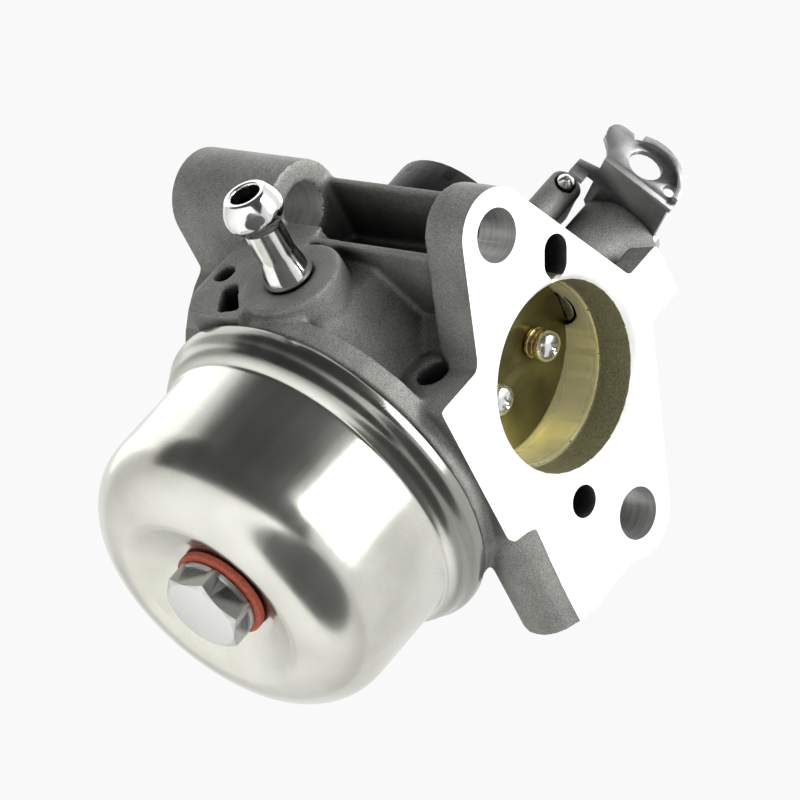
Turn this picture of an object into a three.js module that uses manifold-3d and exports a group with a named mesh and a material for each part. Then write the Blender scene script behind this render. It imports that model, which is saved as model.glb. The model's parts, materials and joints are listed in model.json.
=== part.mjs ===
// A side-draught float-bowl carburetor for a small single-cylinder engine, in millimetres.
// The origin is the centre of the throttle bore on the engine flange face. +X leaves that face
// along the bore, +Z is up with the float bowl below, and the fuel inlet faces -Y.
import * as THREE from "three";
import { mergeVertices } from "three/addons/utils/BufferGeometryUtils.js";
import Module from "manifold-3d";

const wasm = await Module();
wasm.setup();

// ---------------------------------------------------------------- driving dimensions
const GAP = 0.3; // clearance between pieces that sit against or inside each other
const FINE = 36; // sides of the bore, the bowl and the large rounds
const ROUND = 20; // sides of a boss
const SMALL = 12; // sides of a shaft or a drilled hole
const PAST = 1; // how far a cutting tool runs past the face it cuts

const LENGTH = 63.4; // engine flange face to air-cleaner flange face
const STUD_SPACING = 57; // between the two studs that pass through both flanges
const STUD_HOLE_R = 4.25;
const STUD_LOBE = 3.15; // casting round a stud hole at the engine flange
const STUD_LUG = 3.55; // casting round a stud hole at the air-cleaner flange
const ENGINE_FLANGE = 8; // thickness of the engine flange
const AIR_FLANGE = 22; // thickness of the air-cleaner flange

const BORE_R = 14.5; // throttle bore
const BARREL_WALL = 4.1; // casting round the throttle bore
const MOUTH_STEP = 0.5; // counterbore in the engine flange, wider than the bore by this
const MOUTH_DEPTH = 7.1;
const MOUTH_CHAMFER = 0.9;
const VENTURI_R = 11.5;
const THROAT_LENGTH = 8; // taper from the venturi to the throttle bore
const INTAKE_STEP = 1.1; // air-cleaner end of the bore, wider than the throttle bore by this
const AIR_FLANGE_WALL = 5.7; // round face of the air-cleaner flange outside the intake

const THROTTLE_FROM_FACE = 13.8; // throttle shaft axis behind the engine flange face
const THROTTLE_SHAFT_R = 3.2;
const THROTTLE_BOSS_WALL = 3.9;
const THROTTLE_BOSS_RISE = 13.8; // boss above the barrel
const THROTTLE_TILT = 11; // degrees between the closed plate and a square section of the bore
const PLATE_THICK = 1;
const PLATE_SCREW_R = 1.5;
const PLATE_SCREW_HEAD_R = 2.65;
const PLATE_SCREW_HEAD = 1.7;
const PLATE_SCREW_STACK = 2.4; // lock washers under each head

const LEVER_TURN = -45.4; // degrees from +X to the throttle lever's arm
const LEVER_THICK = 1.2;
const LEVER_ARM = 12.5; // shaft axis to the lever's upturned tab
const LEVER_LEFT = -7.8; // edges of the arm across its length
const LEVER_RIGHT = 4.8;
const LEVER_TAB_R = 7.2; // round top of the upturned tab
const LEVER_LIP = 1.6; // how far its rim is turned outwards

const CHOKE_FROM_FACE = 15.6; // choke shaft axis in from the air-cleaner face
const CHOKE_SHAFT_R = 2.6;
const CHOKE_BOSS_WALL = 3.4;
const CHOKE_BOSS_RISE = 2.3; // boss above the air-cleaner flange
const CHOKE_HUB_R = 12.4; // moulded choke lever
const CHOKE_HUB_THICK = 6.6;
const CHOKE_ARM = 24; // choke shaft axis to the cable hole
const CHOKE_ARM_TURN = 150; // degrees from +X to that arm
const CHOKE_OPEN = 90; // degrees: the open plate lies along the bore

const BOWL_FROM_FACE = 29.5; // axis of the float bowl behind the engine flange face
const BOWL_R = 26.4; // outside of the bowl wall
const BOWL_WALL = 1;
const BOWL_RIM = 3.2; // rim beyond the bowl wall
const BOWL_RIM_TOP = -26.9;
const BOWL_RIM_DEPTH = 5.4;
const BOWL_RIM_TAPER = 1.3; // the rim narrows downwards by this
const BOWL_HEIGHT = 31.1; // rim top to the lowest ring
const BOWL_DISH = 3.8; // the middle is pressed up by this
const BOWL_DISH_R = 15; // where the pressed-up middle meets the lowest ring
const BOWL_FILLET = 10;
const COVER_THICK = 4; // cast disc that closes the bowl
const POST_R = 5.6; // nozzle post that the bowl bolt screws into
const POST_BOTTOM = -50.5;

const BOLT_R = 3.1;
const BOLT_HEAD_AF = 12.7; // hexagon across flats
const BOLT_HEAD = 4.4;
const BOLT_LENGTH = 12; // thread above the bowl
const WASHER_R = 7.9; // fibre washer under the bolt head
const WASHER_THICK = 1.2;

const INLET_Z = -16.6; // fuel inlet axis height
const INLET_BOSS_R = 8.2;
const INLET_BOSS_OUT = 1.6; // outer face of the inlet boss beyond the cover disc
const INLET_LENGTH = 16.7; // fitting beyond that face
const INLET_STEM = 6; // fitting inside the casting
const INLET_STEM_R = 3.25;
const INLET_BELL_R = 4; // bell-shaped foot of the fitting, on the casting
const INLET_BELL = 5; // length of that foot
const INLET_NECK_R = 3.1;
const INLET_BEAD_R = 4.8;
const INLET_TIP_R = 3.4;
const INLET_BORE_R = 2.4;

const FLOAT_TO_WALL = 4; // float clear of the bowl's inner wall
const FLOAT_TO_POST = 3.4; // float clear of the nozzle post
const FLOAT_TOP = -32;
const FLOAT_DEPTH = 12;
const FLOAT_DROP = 8; // degrees the float hangs below its fuel-level position
const PIN_TO_WALL = 3.9; // float hinge pin, parallel to X, in from the bowl's inner wall
const PIN_Z = -30.6;
const PIN_R = 0.9;
const NEEDLE_TO_PIN = 5.9; // the needle stands on the float arm this far from the pin
const NEEDLE_R = 1.7;
const SEAT_R = 3;

const NOZZLE_R = 2.2;
const NOZZLE_TOP = -7.4;
const JET_R = 2.4;
const JET_THICK = 2.7;

// ---------------------------------------------------------------- places worked out from them
const radians = THREE.MathUtils.degToRad;
const studY = STUD_SPACING / 2;
const airFace = -LENGTH;
const airInner = airFace + AIR_FLANGE;
const engineInner = -ENGINE_FLANGE;
const throttleX = -THROTTLE_FROM_FACE;
const chokeX = airFace + CHOKE_FROM_FACE;
const bowlX = -BOWL_FROM_FACE;
const venturiX = bowlX - 0.5;

const intakeR = BORE_R + INTAKE_STEP;
const barrelR = BORE_R + BARREL_WALL;
const airFlangeR = intakeR + AIR_FLANGE_WALL;
const lobeR = STUD_HOLE_R + STUD_LOBE;
const lugR = STUD_HOLE_R + STUD_LUG;

const throttleBossTop = barrelR + THROTTLE_BOSS_RISE;
const leverZ = throttleBossTop + GAP;
const throttlePlateR = BORE_R - GAP;
const chokeBossTop = airFlangeR + CHOKE_BOSS_RISE;
const chokeHubBottom = chokeBossTop + GAP;
const chokeHubTop = chokeHubBottom + CHOKE_HUB_THICK;
const chokePlateR = intakeR - 2 * GAP;

const bowlInnerR = BOWL_R - BOWL_WALL;
const bowlRimR = BOWL_R + BOWL_RIM;
const bowlBottom = BOWL_RIM_TOP - BOWL_HEIGHT;
const bowlSeat = bowlBottom + BOWL_DISH; // underside of the pressed-up middle
const coverR = bowlRimR - BOWL_WALL;
const coverBottom = BOWL_RIM_TOP + GAP;
const coverTop = coverBottom + COVER_THICK;
const inletFace = -coverR - INLET_BOSS_OUT;
const pinY = PIN_TO_WALL - bowlInnerR;
const needleY = pinY + NEEDLE_TO_PIN;
const jetTop = POST_BOTTOM + BOLT_LENGTH + 0.9;

// ---------------------------------------------------------------- solids
// A three.js geometry as a manifold-3d solid.
function solid(geometry) {
  const bare = geometry.clone();
  bare.deleteAttribute("normal");
  bare.deleteAttribute("uv");
  const merged = mergeVertices(bare, 1e-4);
  return new wasm.Manifold(
    new wasm.Mesh({
      numProp: 3,
      vertProperties: new Float32Array(merged.attributes.position.array),
      triVerts: new Uint32Array(merged.index.array),
    }),
  );
}

// A manifold-3d solid as a three.js geometry.
function geometryOf(manifold) {
  const mesh = manifold.getMesh();
  const step = mesh.numProp;
  const points = new Float32Array(mesh.numVert * 3);
  for (let i = 0; i < mesh.numVert; i++) {
    points.set(mesh.vertProperties.subarray(i * step, i * step + 3), i * 3);
  }
  return new THREE.BufferGeometry()
    .setAttribute("position", new THREE.BufferAttribute(points, 3))
    .setIndex(new THREE.BufferAttribute(mesh.triVerts, 1));
}

const join = (...solids) => solids.reduce((a, b) => a.add(b));
const cut = (base, ...tools) => tools.reduce((a, b) => a.subtract(b), base);

// Turns a geometry that was made along +Z so that it runs along +X, with its x and y on Y and Z.
function alongX(geometry) {
  const turn = new THREE.Matrix4().set(0, 0, 1, 0, 1, 0, 0, 0, 0, 1, 0, 0, 0, 0, 0, 1);
  return geometry.applyMatrix4(turn);
}

// The same along +Y, with its x and y on Z and X.
function alongY(geometry) {
  const turn = new THREE.Matrix4().set(0, 1, 0, 0, 0, 0, 1, 0, 1, 0, 0, 0, 0, 0, 0, 1);
  return geometry.applyMatrix4(turn);
}

// A cylinder or cone along Z at (x, y), between two heights.
function rodZ(x, y, from, to, r, sides = SMALL, rEnd = r) {
  const rod = new THREE.CylinderGeometry(rEnd, r, to - from, sides);
  return solid(rod.rotateX(Math.PI / 2).translate(x, y, (from + to) / 2));
}

// The same along X at (y, z), and along Y at (x, z).
function rodX(y, z, from, to, r, sides = SMALL, rEnd = r) {
  const rod = new THREE.CylinderGeometry(rEnd, r, to - from, sides);
  return solid(rod.rotateZ(-Math.PI / 2).translate((from + to) / 2, y, z));
}
function rodY(x, z, from, to, r, sides = SMALL, rEnd = r) {
  const rod = new THREE.CylinderGeometry(rEnd, r, to - from, sides);
  return solid(rod.translate(x, (from + to) / 2, z));
}

function block(x0, x1, y0, y1, z0, z1) {
  const box = new THREE.BoxGeometry(x1 - x0, y1 - y0, z1 - z0);
  return solid(box.translate((x0 + x1) / 2, (y0 + y1) / 2, (z0 + z1) / 2));
}

// A flat outline extruded along Z from one height to another.
function slab(shape, from, to, curveSegments = 8) {
  const settings = { depth: to - from, bevelEnabled: false, curveSegments };
  return new THREE.ExtrudeGeometry(shape, settings).translate(0, 0, from);
}

const outline = (points) => new THREE.Shape(points.map(([a, b]) => new THREE.Vector2(a, b)));

// A profile of [radius, height] points, from the axis or an inner wall outwards, spun round Z.
function spun(profile, sides) {
  const points = profile.map(([r, h]) => new THREE.Vector2(r, h));
  return new THREE.LatheGeometry(points, sides).rotateX(Math.PI / 2);
}

// A plain ring between two heights.
function ringProfile(inner, outer, from, to) {
  return [[inner, from], [outer, from], [outer, to], [inner, to], [inner, from]];
}

// Points of an arc, for use in a profile.
function arc(cx, cy, r, fromDeg, toDeg, steps) {
  return Array.from({ length: steps + 1 }, (_, i) => {
    const a = radians(fromDeg + ((toDeg - fromDeg) * i) / steps);
    return [cx + r * Math.cos(a), cy + r * Math.sin(a)];
  });
}

// The angle on a circle where a straight line from (px, py) touches it; side is +1 or -1.
function tangentAngle(cx, cy, r, px, py, side) {
  const away = Math.atan2(py - cy, px - cx);
  return away + side * Math.acos(r / Math.hypot(px - cx, py - cy));
}

// ---------------------------------------------------------------- materials
function metal(color, roughness, metalness = 0.9) {
  return new THREE.MeshStandardMaterial({ color, roughness, metalness });
}
const castAluminium = metal(0x8f908c, 0.6);
const platedSteel = metal(0xbfc0bb, 0.3);
const greySteel = metal(0x77787a, 0.45);
const brightSteel = metal(0xd5d5d2, 0.18);
const brass = metal(0xa8954f, 0.3);
const blackPlastic = metal(0x1d1d1b, 0.5, 0);
const rubber = metal(0x141414, 0.85, 0);
const redFibre = metal(0x8c3b2c, 0.8, 0);
const darkFoam = metal(0x2b2620, 0.8, 0);

const carburetor = new THREE.Group();

// Adds one named piece to the carburetor, or to a group inside it.
function piece(name, shape, material, group = carburetor) {
  const geometry = shape instanceof THREE.BufferGeometry ? shape : geometryOf(shape);
  const mesh = new THREE.Mesh(geometry, material);
  mesh.name = name;
  group.add(mesh);
  return mesh;
}

// ---------------------------------------------------------------- body: flanges and barrel
// The engine flange has two stud lobes, a foot below, a ledge beside it and an upstand above.
const FOOT = { left: -14.2, right: 13.2, bottom: -24.2, rise: 10.2 };
const LEDGE = { right: 6, bottom: -17.6, top: -10.5, corner: 2 };
const UPSTAND = { left: -4.1, right: 5.3, top: 26.9, root: 19.3, slope: 1.4, thick: 5 };
const SHOULDER_TURN = -42; // degrees: where the lobe above the ledge begins

function engineFlangeShape() {
  const ledgeRight = studY + LEDGE.right;
  const footTop = FOOT.bottom + FOOT.rise;
  const upperLeft = tangentAngle(-studY, 0, lobeR, UPSTAND.left, UPSTAND.root, 1);
  const lowerLeft = tangentAngle(-studY, 0, lobeR, FOOT.left - 1, footTop, -1);
  const upperRight = tangentAngle(studY, 0, lobeR, UPSTAND.right, UPSTAND.root, -1);
  const shape = new THREE.Shape();
  shape.moveTo(FOOT.left, FOOT.bottom);
  shape.lineTo(FOOT.right - 1.4, FOOT.bottom);
  shape.lineTo(FOOT.right, FOOT.bottom + 1);
  shape.lineTo(FOOT.right + 0.9, LEDGE.bottom - 0.6);
  shape.lineTo(FOOT.right + 1.8, LEDGE.bottom);
  shape.lineTo(ledgeRight - LEDGE.corner, LEDGE.bottom);
  shape.lineTo(ledgeRight, LEDGE.bottom + LEDGE.corner);
  shape.lineTo(ledgeRight - 0.4, LEDGE.top);
  shape.absarc(studY, 0, lobeR, radians(SHOULDER_TURN), upperRight, false);
  shape.lineTo(UPSTAND.right, UPSTAND.root);
  shape.lineTo(UPSTAND.right, UPSTAND.top);
  shape.lineTo(UPSTAND.left, UPSTAND.top);
  shape.lineTo(UPSTAND.left, UPSTAND.root);
  shape.absarc(-studY, 0, lobeR, upperLeft, lowerLeft + 2 * Math.PI, false);
  shape.lineTo(FOOT.left - 1, footTop);
  shape.lineTo(FOOT.left, footTop - 1);
  return shape;
}

function engineFlange() {
  const plate = solid(alongX(slab(engineFlangeShape(), engineInner, 0)));
  const above = UPSTAND.top + PAST;
  const slope = outline([
    [above, 0],
    [UPSTAND.top, 0],
    [UPSTAND.top - UPSTAND.slope, -UPSTAND.thick],
    [UPSTAND.root, -UPSTAND.thick],
    [UPSTAND.root, engineInner - PAST],
    [above, engineInner - PAST],
  ]);
  const shaved = solid(alongY(slab(slope, UPSTAND.left - PAST, UPSTAND.right + PAST)));
  return cut(plate, shaved);
}

// The round-bottomed bar behind the ledge, and the boss with a hole behind the foot.
const BAR_R = 5.9;
const GALLERY = { x: -8.2, z: -16.4, bossR: 5.4, holeR: 2.6, depth: 9 };

function flangeBosses() {
  const barZ = LEDGE.bottom - 0.4;
  const bar = rodY(-BAR_R, barZ, FOOT.right - 2, studY + LEDGE.right - 0.6, BAR_R, ROUND);
  const gallery = rodY(GALLERY.x, GALLERY.z, FOOT.left, 0, GALLERY.bossR, ROUND);
  return join(bar, gallery);
}

// The round air-cleaner flange with its two long stud lugs.
function airFlange() {
  const shape = new THREE.Shape();
  shape.absarc(studY, 0, lugR, -Math.PI / 2, Math.PI / 2, false);
  shape.absarc(-studY, 0, lugR, Math.PI / 2, (3 * Math.PI) / 2, false);
  const lugs = solid(alongX(slab(shape, airFace, airInner, 12)));
  return join(lugs, rodX(0, 0, airFace, airInner, airFlangeR, FINE));
}

// Two ribs above and below each stud join the flanges and leave a channel between them.
const RIB = { z: 6.75, thick: 1.4, pastStud: 0.6 };

function ribs() {
  const edge = studY + RIB.pastStud;
  const root = barrelR - BARREL_WALL / 2;
  const pieces = [];
  for (const level of [-RIB.z, RIB.z]) {
    const bottom = level - RIB.thick / 2;
    const top = level + RIB.thick / 2;
    pieces.push(block(airInner - PAST, engineInner + PAST, root, edge, bottom, top));
    pieces.push(block(airInner - PAST, engineInner + PAST, -edge, -root, bottom, top));
  }
  return join(...pieces);
}

// ---------------------------------------------------------------- body: casting over the bowl
// Round at the back, and narrower towards the engine so the gallery boss stands clear of it.
const NECK = { turn: 72, inset: 2.2, nearGallery: 4.6 };

function neck() {
  const side = -FOOT.left - 1;
  const galleryX = GALLERY.x - NECK.nearGallery;
  const shape = new THREE.Shape();
  const from = radians(NECK.turn);
  shape.absarc(bowlX, 0, coverR - NECK.inset, from, 2 * Math.PI - from, false);
  shape.lineTo(galleryX, -side);
  shape.lineTo(engineInner + PAST, 1 - side);
  shape.lineTo(engineInner + PAST, side - 1);
  shape.lineTo(galleryX, side);
  const wall = solid(slab(shape, coverTop - PAST, -RIB.z, 14));
  return join(wall, rodZ(bowlX, 0, coverBottom, coverTop, coverR, FINE));
}

// A pad beside the rear lug, leaning towards the bowl, with a blind hole and a moulded pocket.
const PAD = { bottom: -26.2, top: -2, out: 0.8, hollow: 7, foot: 19, lean: 0.68 };
const PAD_HOLE = { x: 19.1, z: -17, r: 1.85 };
const padFace = -coverR - PAD.out;

function rearPad() {
  const shape = outline([
    [airFace + 8, -16],
    [airFace + 11.5, -22.4],
    [airFace + 15.2, padFace + 1],
    [airFace + 16.8, padFace],
    [bowlX - 4, padFace],
    [bowlX - 4, -10],
    [airFace + 8, -10],
  ]);
  const foot = airFace + PAD.foot;
  const leaning = outline([
    [PAD.bottom, foot],
    [PAD.top, foot - PAD.lean * (PAD.top - PAD.bottom)],
    [PAD.top, bowlX],
    [PAD.bottom, bowlX],
  ]);
  const side = solid(alongY(slab(leaning, padFace - PAST, 0)));
  return solid(slab(shape, PAD.bottom, PAD.top)).intersect(side);
}

function padHollows() {
  const from = padFace - PAST;
  const to = padFace + PAD.hollow;
  const pocket = outline([
    [-19.8, airFace + 21.4],
    [-18.7, airFace + 23.5],
    [-24.1, airFace + 28.4],
    [-25.2, airFace + 24.9],
  ]);
  return [
    rodY(airFace + PAD_HOLE.x, PAD_HOLE.z, from, to, PAD_HOLE.r),
    solid(alongY(slab(pocket, from, to))),
  ];
}

function inletBoss() {
  const wide = INLET_BOSS_R + 1.6;
  return rodY(bowlX, INLET_Z, inletFace, -BORE_R, INLET_BOSS_R, 32, wide);
}

function shaftBosses() {
  return join(
    rodZ(throttleX, 0, 0, throttleBossTop, THROTTLE_SHAFT_R + THROTTLE_BOSS_WALL, 28),
    rodZ(chokeX, 0, 0, chokeBossTop, CHOKE_SHAFT_R + CHOKE_BOSS_WALL, ROUND),
  );
}

// ---------------------------------------------------------------- body: adjusting screw bosses
// The idle-stop boss lies along the throttle lever's arm, on a wall and a post from the barrel.
const STOP_R = 2.8;
const STOP = {
  across: LEVER_LEFT - STOP_R - 2 * GAP,
  z: leverZ - 2.2,
  from: -5,
  to: 5.2,
  root: 10,
  domeTop: 2.4,
  holeR: 1.7,
};

// Places a solid, made with the arm along +X from the throttle shaft, in the carburetor.
const inLeverFrame = (shape) => shape.rotate([0, 0, LEVER_TURN]).translate([throttleX, 0, 0]);

function idleStopBoss() {
  const postX = STOP.to - STOP_R;
  const shoulder = STOP.z + STOP.domeTop - 1;
  const wallHalf = STOP_R - 0.6;
  const whole = join(
    rodX(STOP.across, STOP.z, STOP.from, postX, STOP_R, ROUND),
    rodZ(postX, STOP.across, STOP.root, shoulder, STOP_R, ROUND),
    rodZ(postX, STOP.across, shoulder, STOP.z + STOP.domeTop, STOP_R, ROUND, STOP_R - 1),
    block(STOP.from, postX, STOP.across - wallHalf, STOP.across + wallHalf, STOP.root, STOP.z),
  );
  return inLeverFrame(whole);
}

// The boss for the idle mixture screw, on the side away from the fuel inlet.
const MIXTURE = { x: -22, z: 12.5, out: 5.4, r: 4, holeR: 1.9 };
const mixtureFace = barrelR + MIXTURE.out;

function mixtureBoss() {
  return rodY(MIXTURE.x, MIXTURE.z, BORE_R - 4, mixtureFace, MIXTURE.r, ROUND);
}

// ---------------------------------------------------------------- body: posts in the bowl
// Two posts hang from the cover and carry the float pin, one post holds the jet and the nozzle.
const PIN_POST = { half: 4.6, thick: 2.4, width: 4, below: 2 };
const SEAT_BOSS = { wall: 2.2, bottom: -28.4 };

function hangingPosts() {
  const seatBossR = SEAT_R + SEAT_BOSS.wall;
  const pieces = [
    rodZ(bowlX, 0, POST_BOTTOM, -BORE_R, POST_R, ROUND),
    rodZ(bowlX, needleY, SEAT_BOSS.bottom, coverTop - PAST, seatBossR, ROUND),
  ];
  for (const side of [-1, 1]) {
    const near = bowlX + side * PIN_POST.half;
    const far = bowlX + side * (PIN_POST.half + PIN_POST.thick);
    const y0 = pinY - PIN_POST.width / 2;
    const y1 = pinY + PIN_POST.width / 2;
    const bottom = PIN_Z - PIN_POST.below;
    pieces.push(block(Math.min(near, far), Math.max(near, far), y0, y1, bottom, coverTop - PAST));
  }
  return join(...pieces);
}

// ---------------------------------------------------------------- body: hollows
// The bore as one spun tool: intake, venturi, throttle bore and the counterbore at the flange.
function boreTool() {
  const mouthR = BORE_R + MOUTH_STEP;
  const profile = [
    [0, airFace - PAST],
    [intakeR, airFace - PAST],
    [intakeR, venturiX - 1.5 * THROAT_LENGTH],
    [intakeR - INTAKE_STEP, venturiX - 0.7 * THROAT_LENGTH],
    [VENTURI_R, venturiX - 1],
    [VENTURI_R, venturiX + 1.5],
    [BORE_R, venturiX + THROAT_LENGTH],
    [BORE_R, -MOUTH_DEPTH],
    [mouthR, -MOUTH_DEPTH],
    [mouthR, -MOUTH_CHAMFER],
    [mouthR + MOUTH_CHAMFER + PAST, PAST],
    [0, PAST],
  ];
  return solid(alongX(spun(profile, FINE)));
}

// The shallow hollow under the cover, round the nozzle post, the seat boss and the pin posts.
const CHAMBER_DEPTH = 4.6;

function chamberTool() {
  const top = coverBottom + CHAMBER_DEPTH;
  const radius = bowlInnerR - FLOAT_TO_WALL + 0.5;
  return cut(
    rodZ(bowlX, 0, coverBottom - PAST, top, radius, FINE),
    rodZ(bowlX, 0, coverBottom - 2 * PAST, 0, POST_R, ROUND),
    rodZ(bowlX, needleY, coverBottom - 2 * PAST, 0, SEAT_R + SEAT_BOSS.wall, ROUND),
    block(bowlX - 8, bowlX + 8, -coverR, pinY + PIN_POST.width / 2, 2 * coverBottom, 0),
  );
}

// Holes in the engine flange face: a round air passage and an oval one joined to the mouth.
const PASSAGE = { y: 18.5, z: -8.2, r: 2.64, depth: 6 };
const OVAL = { y: -17.45, z: 8.15, r: 2.5, half: 1.0, turn: 56, grooveR: 1.3 };

function flangeFaceHollows() {
  const turn = radians(OVAL.turn);
  const dy = -OVAL.half * Math.sin(turn);
  const dz = OVAL.half * Math.cos(turn);
  const slot = new THREE.Shape();
  slot.absarc(OVAL.y + dy, OVAL.z + dz, OVAL.r, turn, turn + Math.PI, false);
  slot.absarc(OVAL.y - dy, OVAL.z - dz, OVAL.r, turn + Math.PI, turn + 2 * Math.PI, false);
  const grooveY = (OVAL.y - BORE_R * Math.cos(radians(27))) / 2;
  return [
    rodX(PASSAGE.y, PASSAGE.z, -PASSAGE.depth, PAST, PASSAGE.r, ROUND),
    solid(alongX(slab(slot, -PASSAGE.depth, PAST))),
    rodX(grooveY, 0.46 * BORE_R, -PAST, PAST, OVAL.grooveR),
  ];
}

function shaftHoles() {
  return [
    rodZ(throttleX, 0, 1 - barrelR - 3.9, throttleBossTop + PAST, THROTTLE_SHAFT_R + GAP, ROUND),
    rodZ(chokeX, 0, 1 - airFlangeR, chokeBossTop + PAST, CHOKE_SHAFT_R + GAP, ROUND),
  ];
}

function fuelHoles() {
  const seatTop = coverTop + 1.6;
  return [
    rodY(bowlX, INLET_Z, inletFace - PAST, inletFace + 8, INLET_STEM_R + GAP, ROUND),
    rodY(bowlX, INLET_Z, inletFace + 6, needleY + 1.2, 1.6),
    rodZ(bowlX, needleY, SEAT_BOSS.bottom - PAST, seatTop, SEAT_R + GAP, ROUND),
    rodZ(bowlX, needleY, seatTop - PAST, INLET_Z, 1.3),
    rodX(pinY, PIN_Z, bowlX - 12, bowlX + 12, PIN_R + GAP),
    rodY(GALLERY.x, GALLERY.z, FOOT.left - PAST, FOOT.left + GALLERY.depth, GALLERY.holeR, ROUND),
  ];
}

function postHoles() {
  const feedZ = (POST_BOTTOM + jetTop) / 2;
  return [
    rodZ(bowlX, 0, POST_BOTTOM - PAST, jetTop, BOLT_R + GAP),
    rodZ(bowlX, 0, jetTop - PAST, -BORE_R + 5, NOZZLE_R + GAP),
    rodX(0, feedZ, bowlX - POST_R - PAST, bowlX + POST_R + PAST, 1, 12),
  ];
}

function screwHoles() {
  const stopHole = rodX(STOP.across, STOP.z, STOP.from - PAST, STOP.to + PAST, STOP.holeR);
  return [
    inLeverFrame(stopHole),
    rodY(MIXTURE.x, MIXTURE.z, BORE_R - 4, mixtureFace + PAST, MIXTURE.holeR),
  ];
}

function studHoles() {
  return [-studY, studY].map((y) => rodX(y, 0, airFace - PAST, PAST, STUD_HOLE_R, ROUND));
}

function body() {
  const shell = join(
    engineFlange(),
    flangeBosses(),
    airFlange(),
    rodX(0, 0, airFace + PAST, -PAST, barrelR, FINE),
    ribs(),
    neck(),
    rearPad(),
    inletBoss(),
    shaftBosses(),
    idleStopBoss(),
    mixtureBoss(),
  );
  const hollowed = cut(shell, boreTool(), chamberTool(), ...padHollows());
  const drilled = [...studHoles(), ...flangeFaceHollows(), ...shaftHoles()];
  drilled.push(...fuelHoles(), ...postHoles(), ...screwHoles());
  return cut(join(hollowed, hangingPosts()), boreTool(), ...drilled);
}
piece("body", body(), castAluminium);

// ---------------------------------------------------------------- butterflies
// A disc that just clears its bore, standing square to +X against the flat of its shaft.
function butterfly(r, screwZ) {
  const face = GAP / 2;
  const disc = rodX(0, 0, face, face + PLATE_THICK, r, FINE);
  const holes = [-screwZ, screwZ].map((z) => rodX(0, z, -PAST, 3, PLATE_SCREW_R + GAP));
  return cut(disc, ...holes);
}

const SHAFT_NECK = 0.9; // the neck that holds the lever is thinner than the shaft by this

// A shaft with a flat milled along the bore, where its plate is screwed down, and a neck and a
// riveted head that hold its lever.
function butterflyShaft({ r, bottom, lever, leverTop, flatHalf, screwZ }) {
  const neckR = r - SHAFT_NECK;
  const bar = join(
    rodZ(0, 0, bottom, lever, r, ROUND),
    rodZ(0, 0, lever - PAST, leverTop + GAP, neckR),
    rodZ(0, 0, leverTop + GAP, leverTop + GAP + 1, r + 0.3, SMALL, r * 0.8),
  );
  const flat = block(-GAP / 2, r + PAST, -r - PAST, r + PAST, -flatHalf, flatHalf);
  const holes = [-screwZ, screwZ].map((z) => {
    return rodX(0, z, -r - PAST, r + PAST, PLATE_SCREW_R + GAP);
  });
  return cut(bar, flat, ...holes);
}

// A pan-head screw along X through a plate and its shaft, with lock washers under the head.
const CROSS = { half: 1.4, width: 0.7, depth: 0.8 };

function plateScrew(z, shaftR) {
  const plateFace = PLATE_THICK + GAP / 2;
  const seat = plateFace + 0.1 + PLATE_SCREW_STACK;
  const top = seat + PLATE_SCREW_HEAD;
  const slots = [[CROSS.width / 2, CROSS.half], [CROSS.half, CROSS.width / 2]].map(([y, h]) => {
    return block(top - CROSS.depth, top + PAST, -y, y, z - h, z + h);
  });
  const screw = join(
    rodX(0, z, 0.6 - shaftR, seat, PLATE_SCREW_R),
    rodX(0, z, plateFace + 0.1, seat, PLATE_SCREW_HEAD_R - 0.2, ROUND),
    rodX(0, z, seat, top, PLATE_SCREW_HEAD_R, ROUND, PLATE_SCREW_HEAD_R * 0.72),
  );
  return cut(screw, ...slots);
}

// One shaft with its plate and its two screws, all turned together in one group.
function addButterfly(name, group, turn, plateR, screwZ, plateMaterial, shaft) {
  const turned = [
    piece(`${name}_plate`, butterfly(plateR, screwZ), plateMaterial, group),
    piece(`${name}_shaft`, butterflyShaft({ ...shaft, screwZ }), brightSteel, group),
    piece(`${name}_screw_upper`, plateScrew(screwZ, shaft.r), brightSteel, group),
    piece(`${name}_screw_lower`, plateScrew(-screwZ, shaft.r), brightSteel, group),
  ];
  for (const mesh of turned) mesh.rotation.z = radians(turn);
}

const throttle = new THREE.Group();
throttle.position.x = throttleX;
carburetor.add(throttle);
addButterfly("throttle", throttle, THROTTLE_TILT, throttlePlateR, 0.44 * BORE_R, brass, {
  r: THROTTLE_SHAFT_R,
  bottom: 2 - barrelR - 4.4,
  lever: throttleBossTop,
  leverTop: leverZ + LEVER_THICK,
  flatHalf: BORE_R,
});

const choke = new THREE.Group();
choke.position.x = chokeX;
carburetor.add(choke);
addButterfly("choke", choke, CHOKE_OPEN, chokePlateR, 0.34 * BORE_R, brass, {
  r: CHOKE_SHAFT_R,
  bottom: 1.5 - airFlangeR,
  lever: chokeBossTop,
  leverTop: chokeHubTop,
  flatHalf: intakeR - GAP,
});

// ---------------------------------------------------------------- throttle lever
// A flat arm on the shaft, an ear that meets the idle stop screw, and an upturned tab.
const EAR = { from: STOP.to + 1 + GAP, across: STOP.across - 0.4, drop: 1.8, width: 2.6, web: 2.6 };
const HEEL = { r: 6.4, side: 3.5, turn: 238 }; // the round end of the arm behind the shaft

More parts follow.
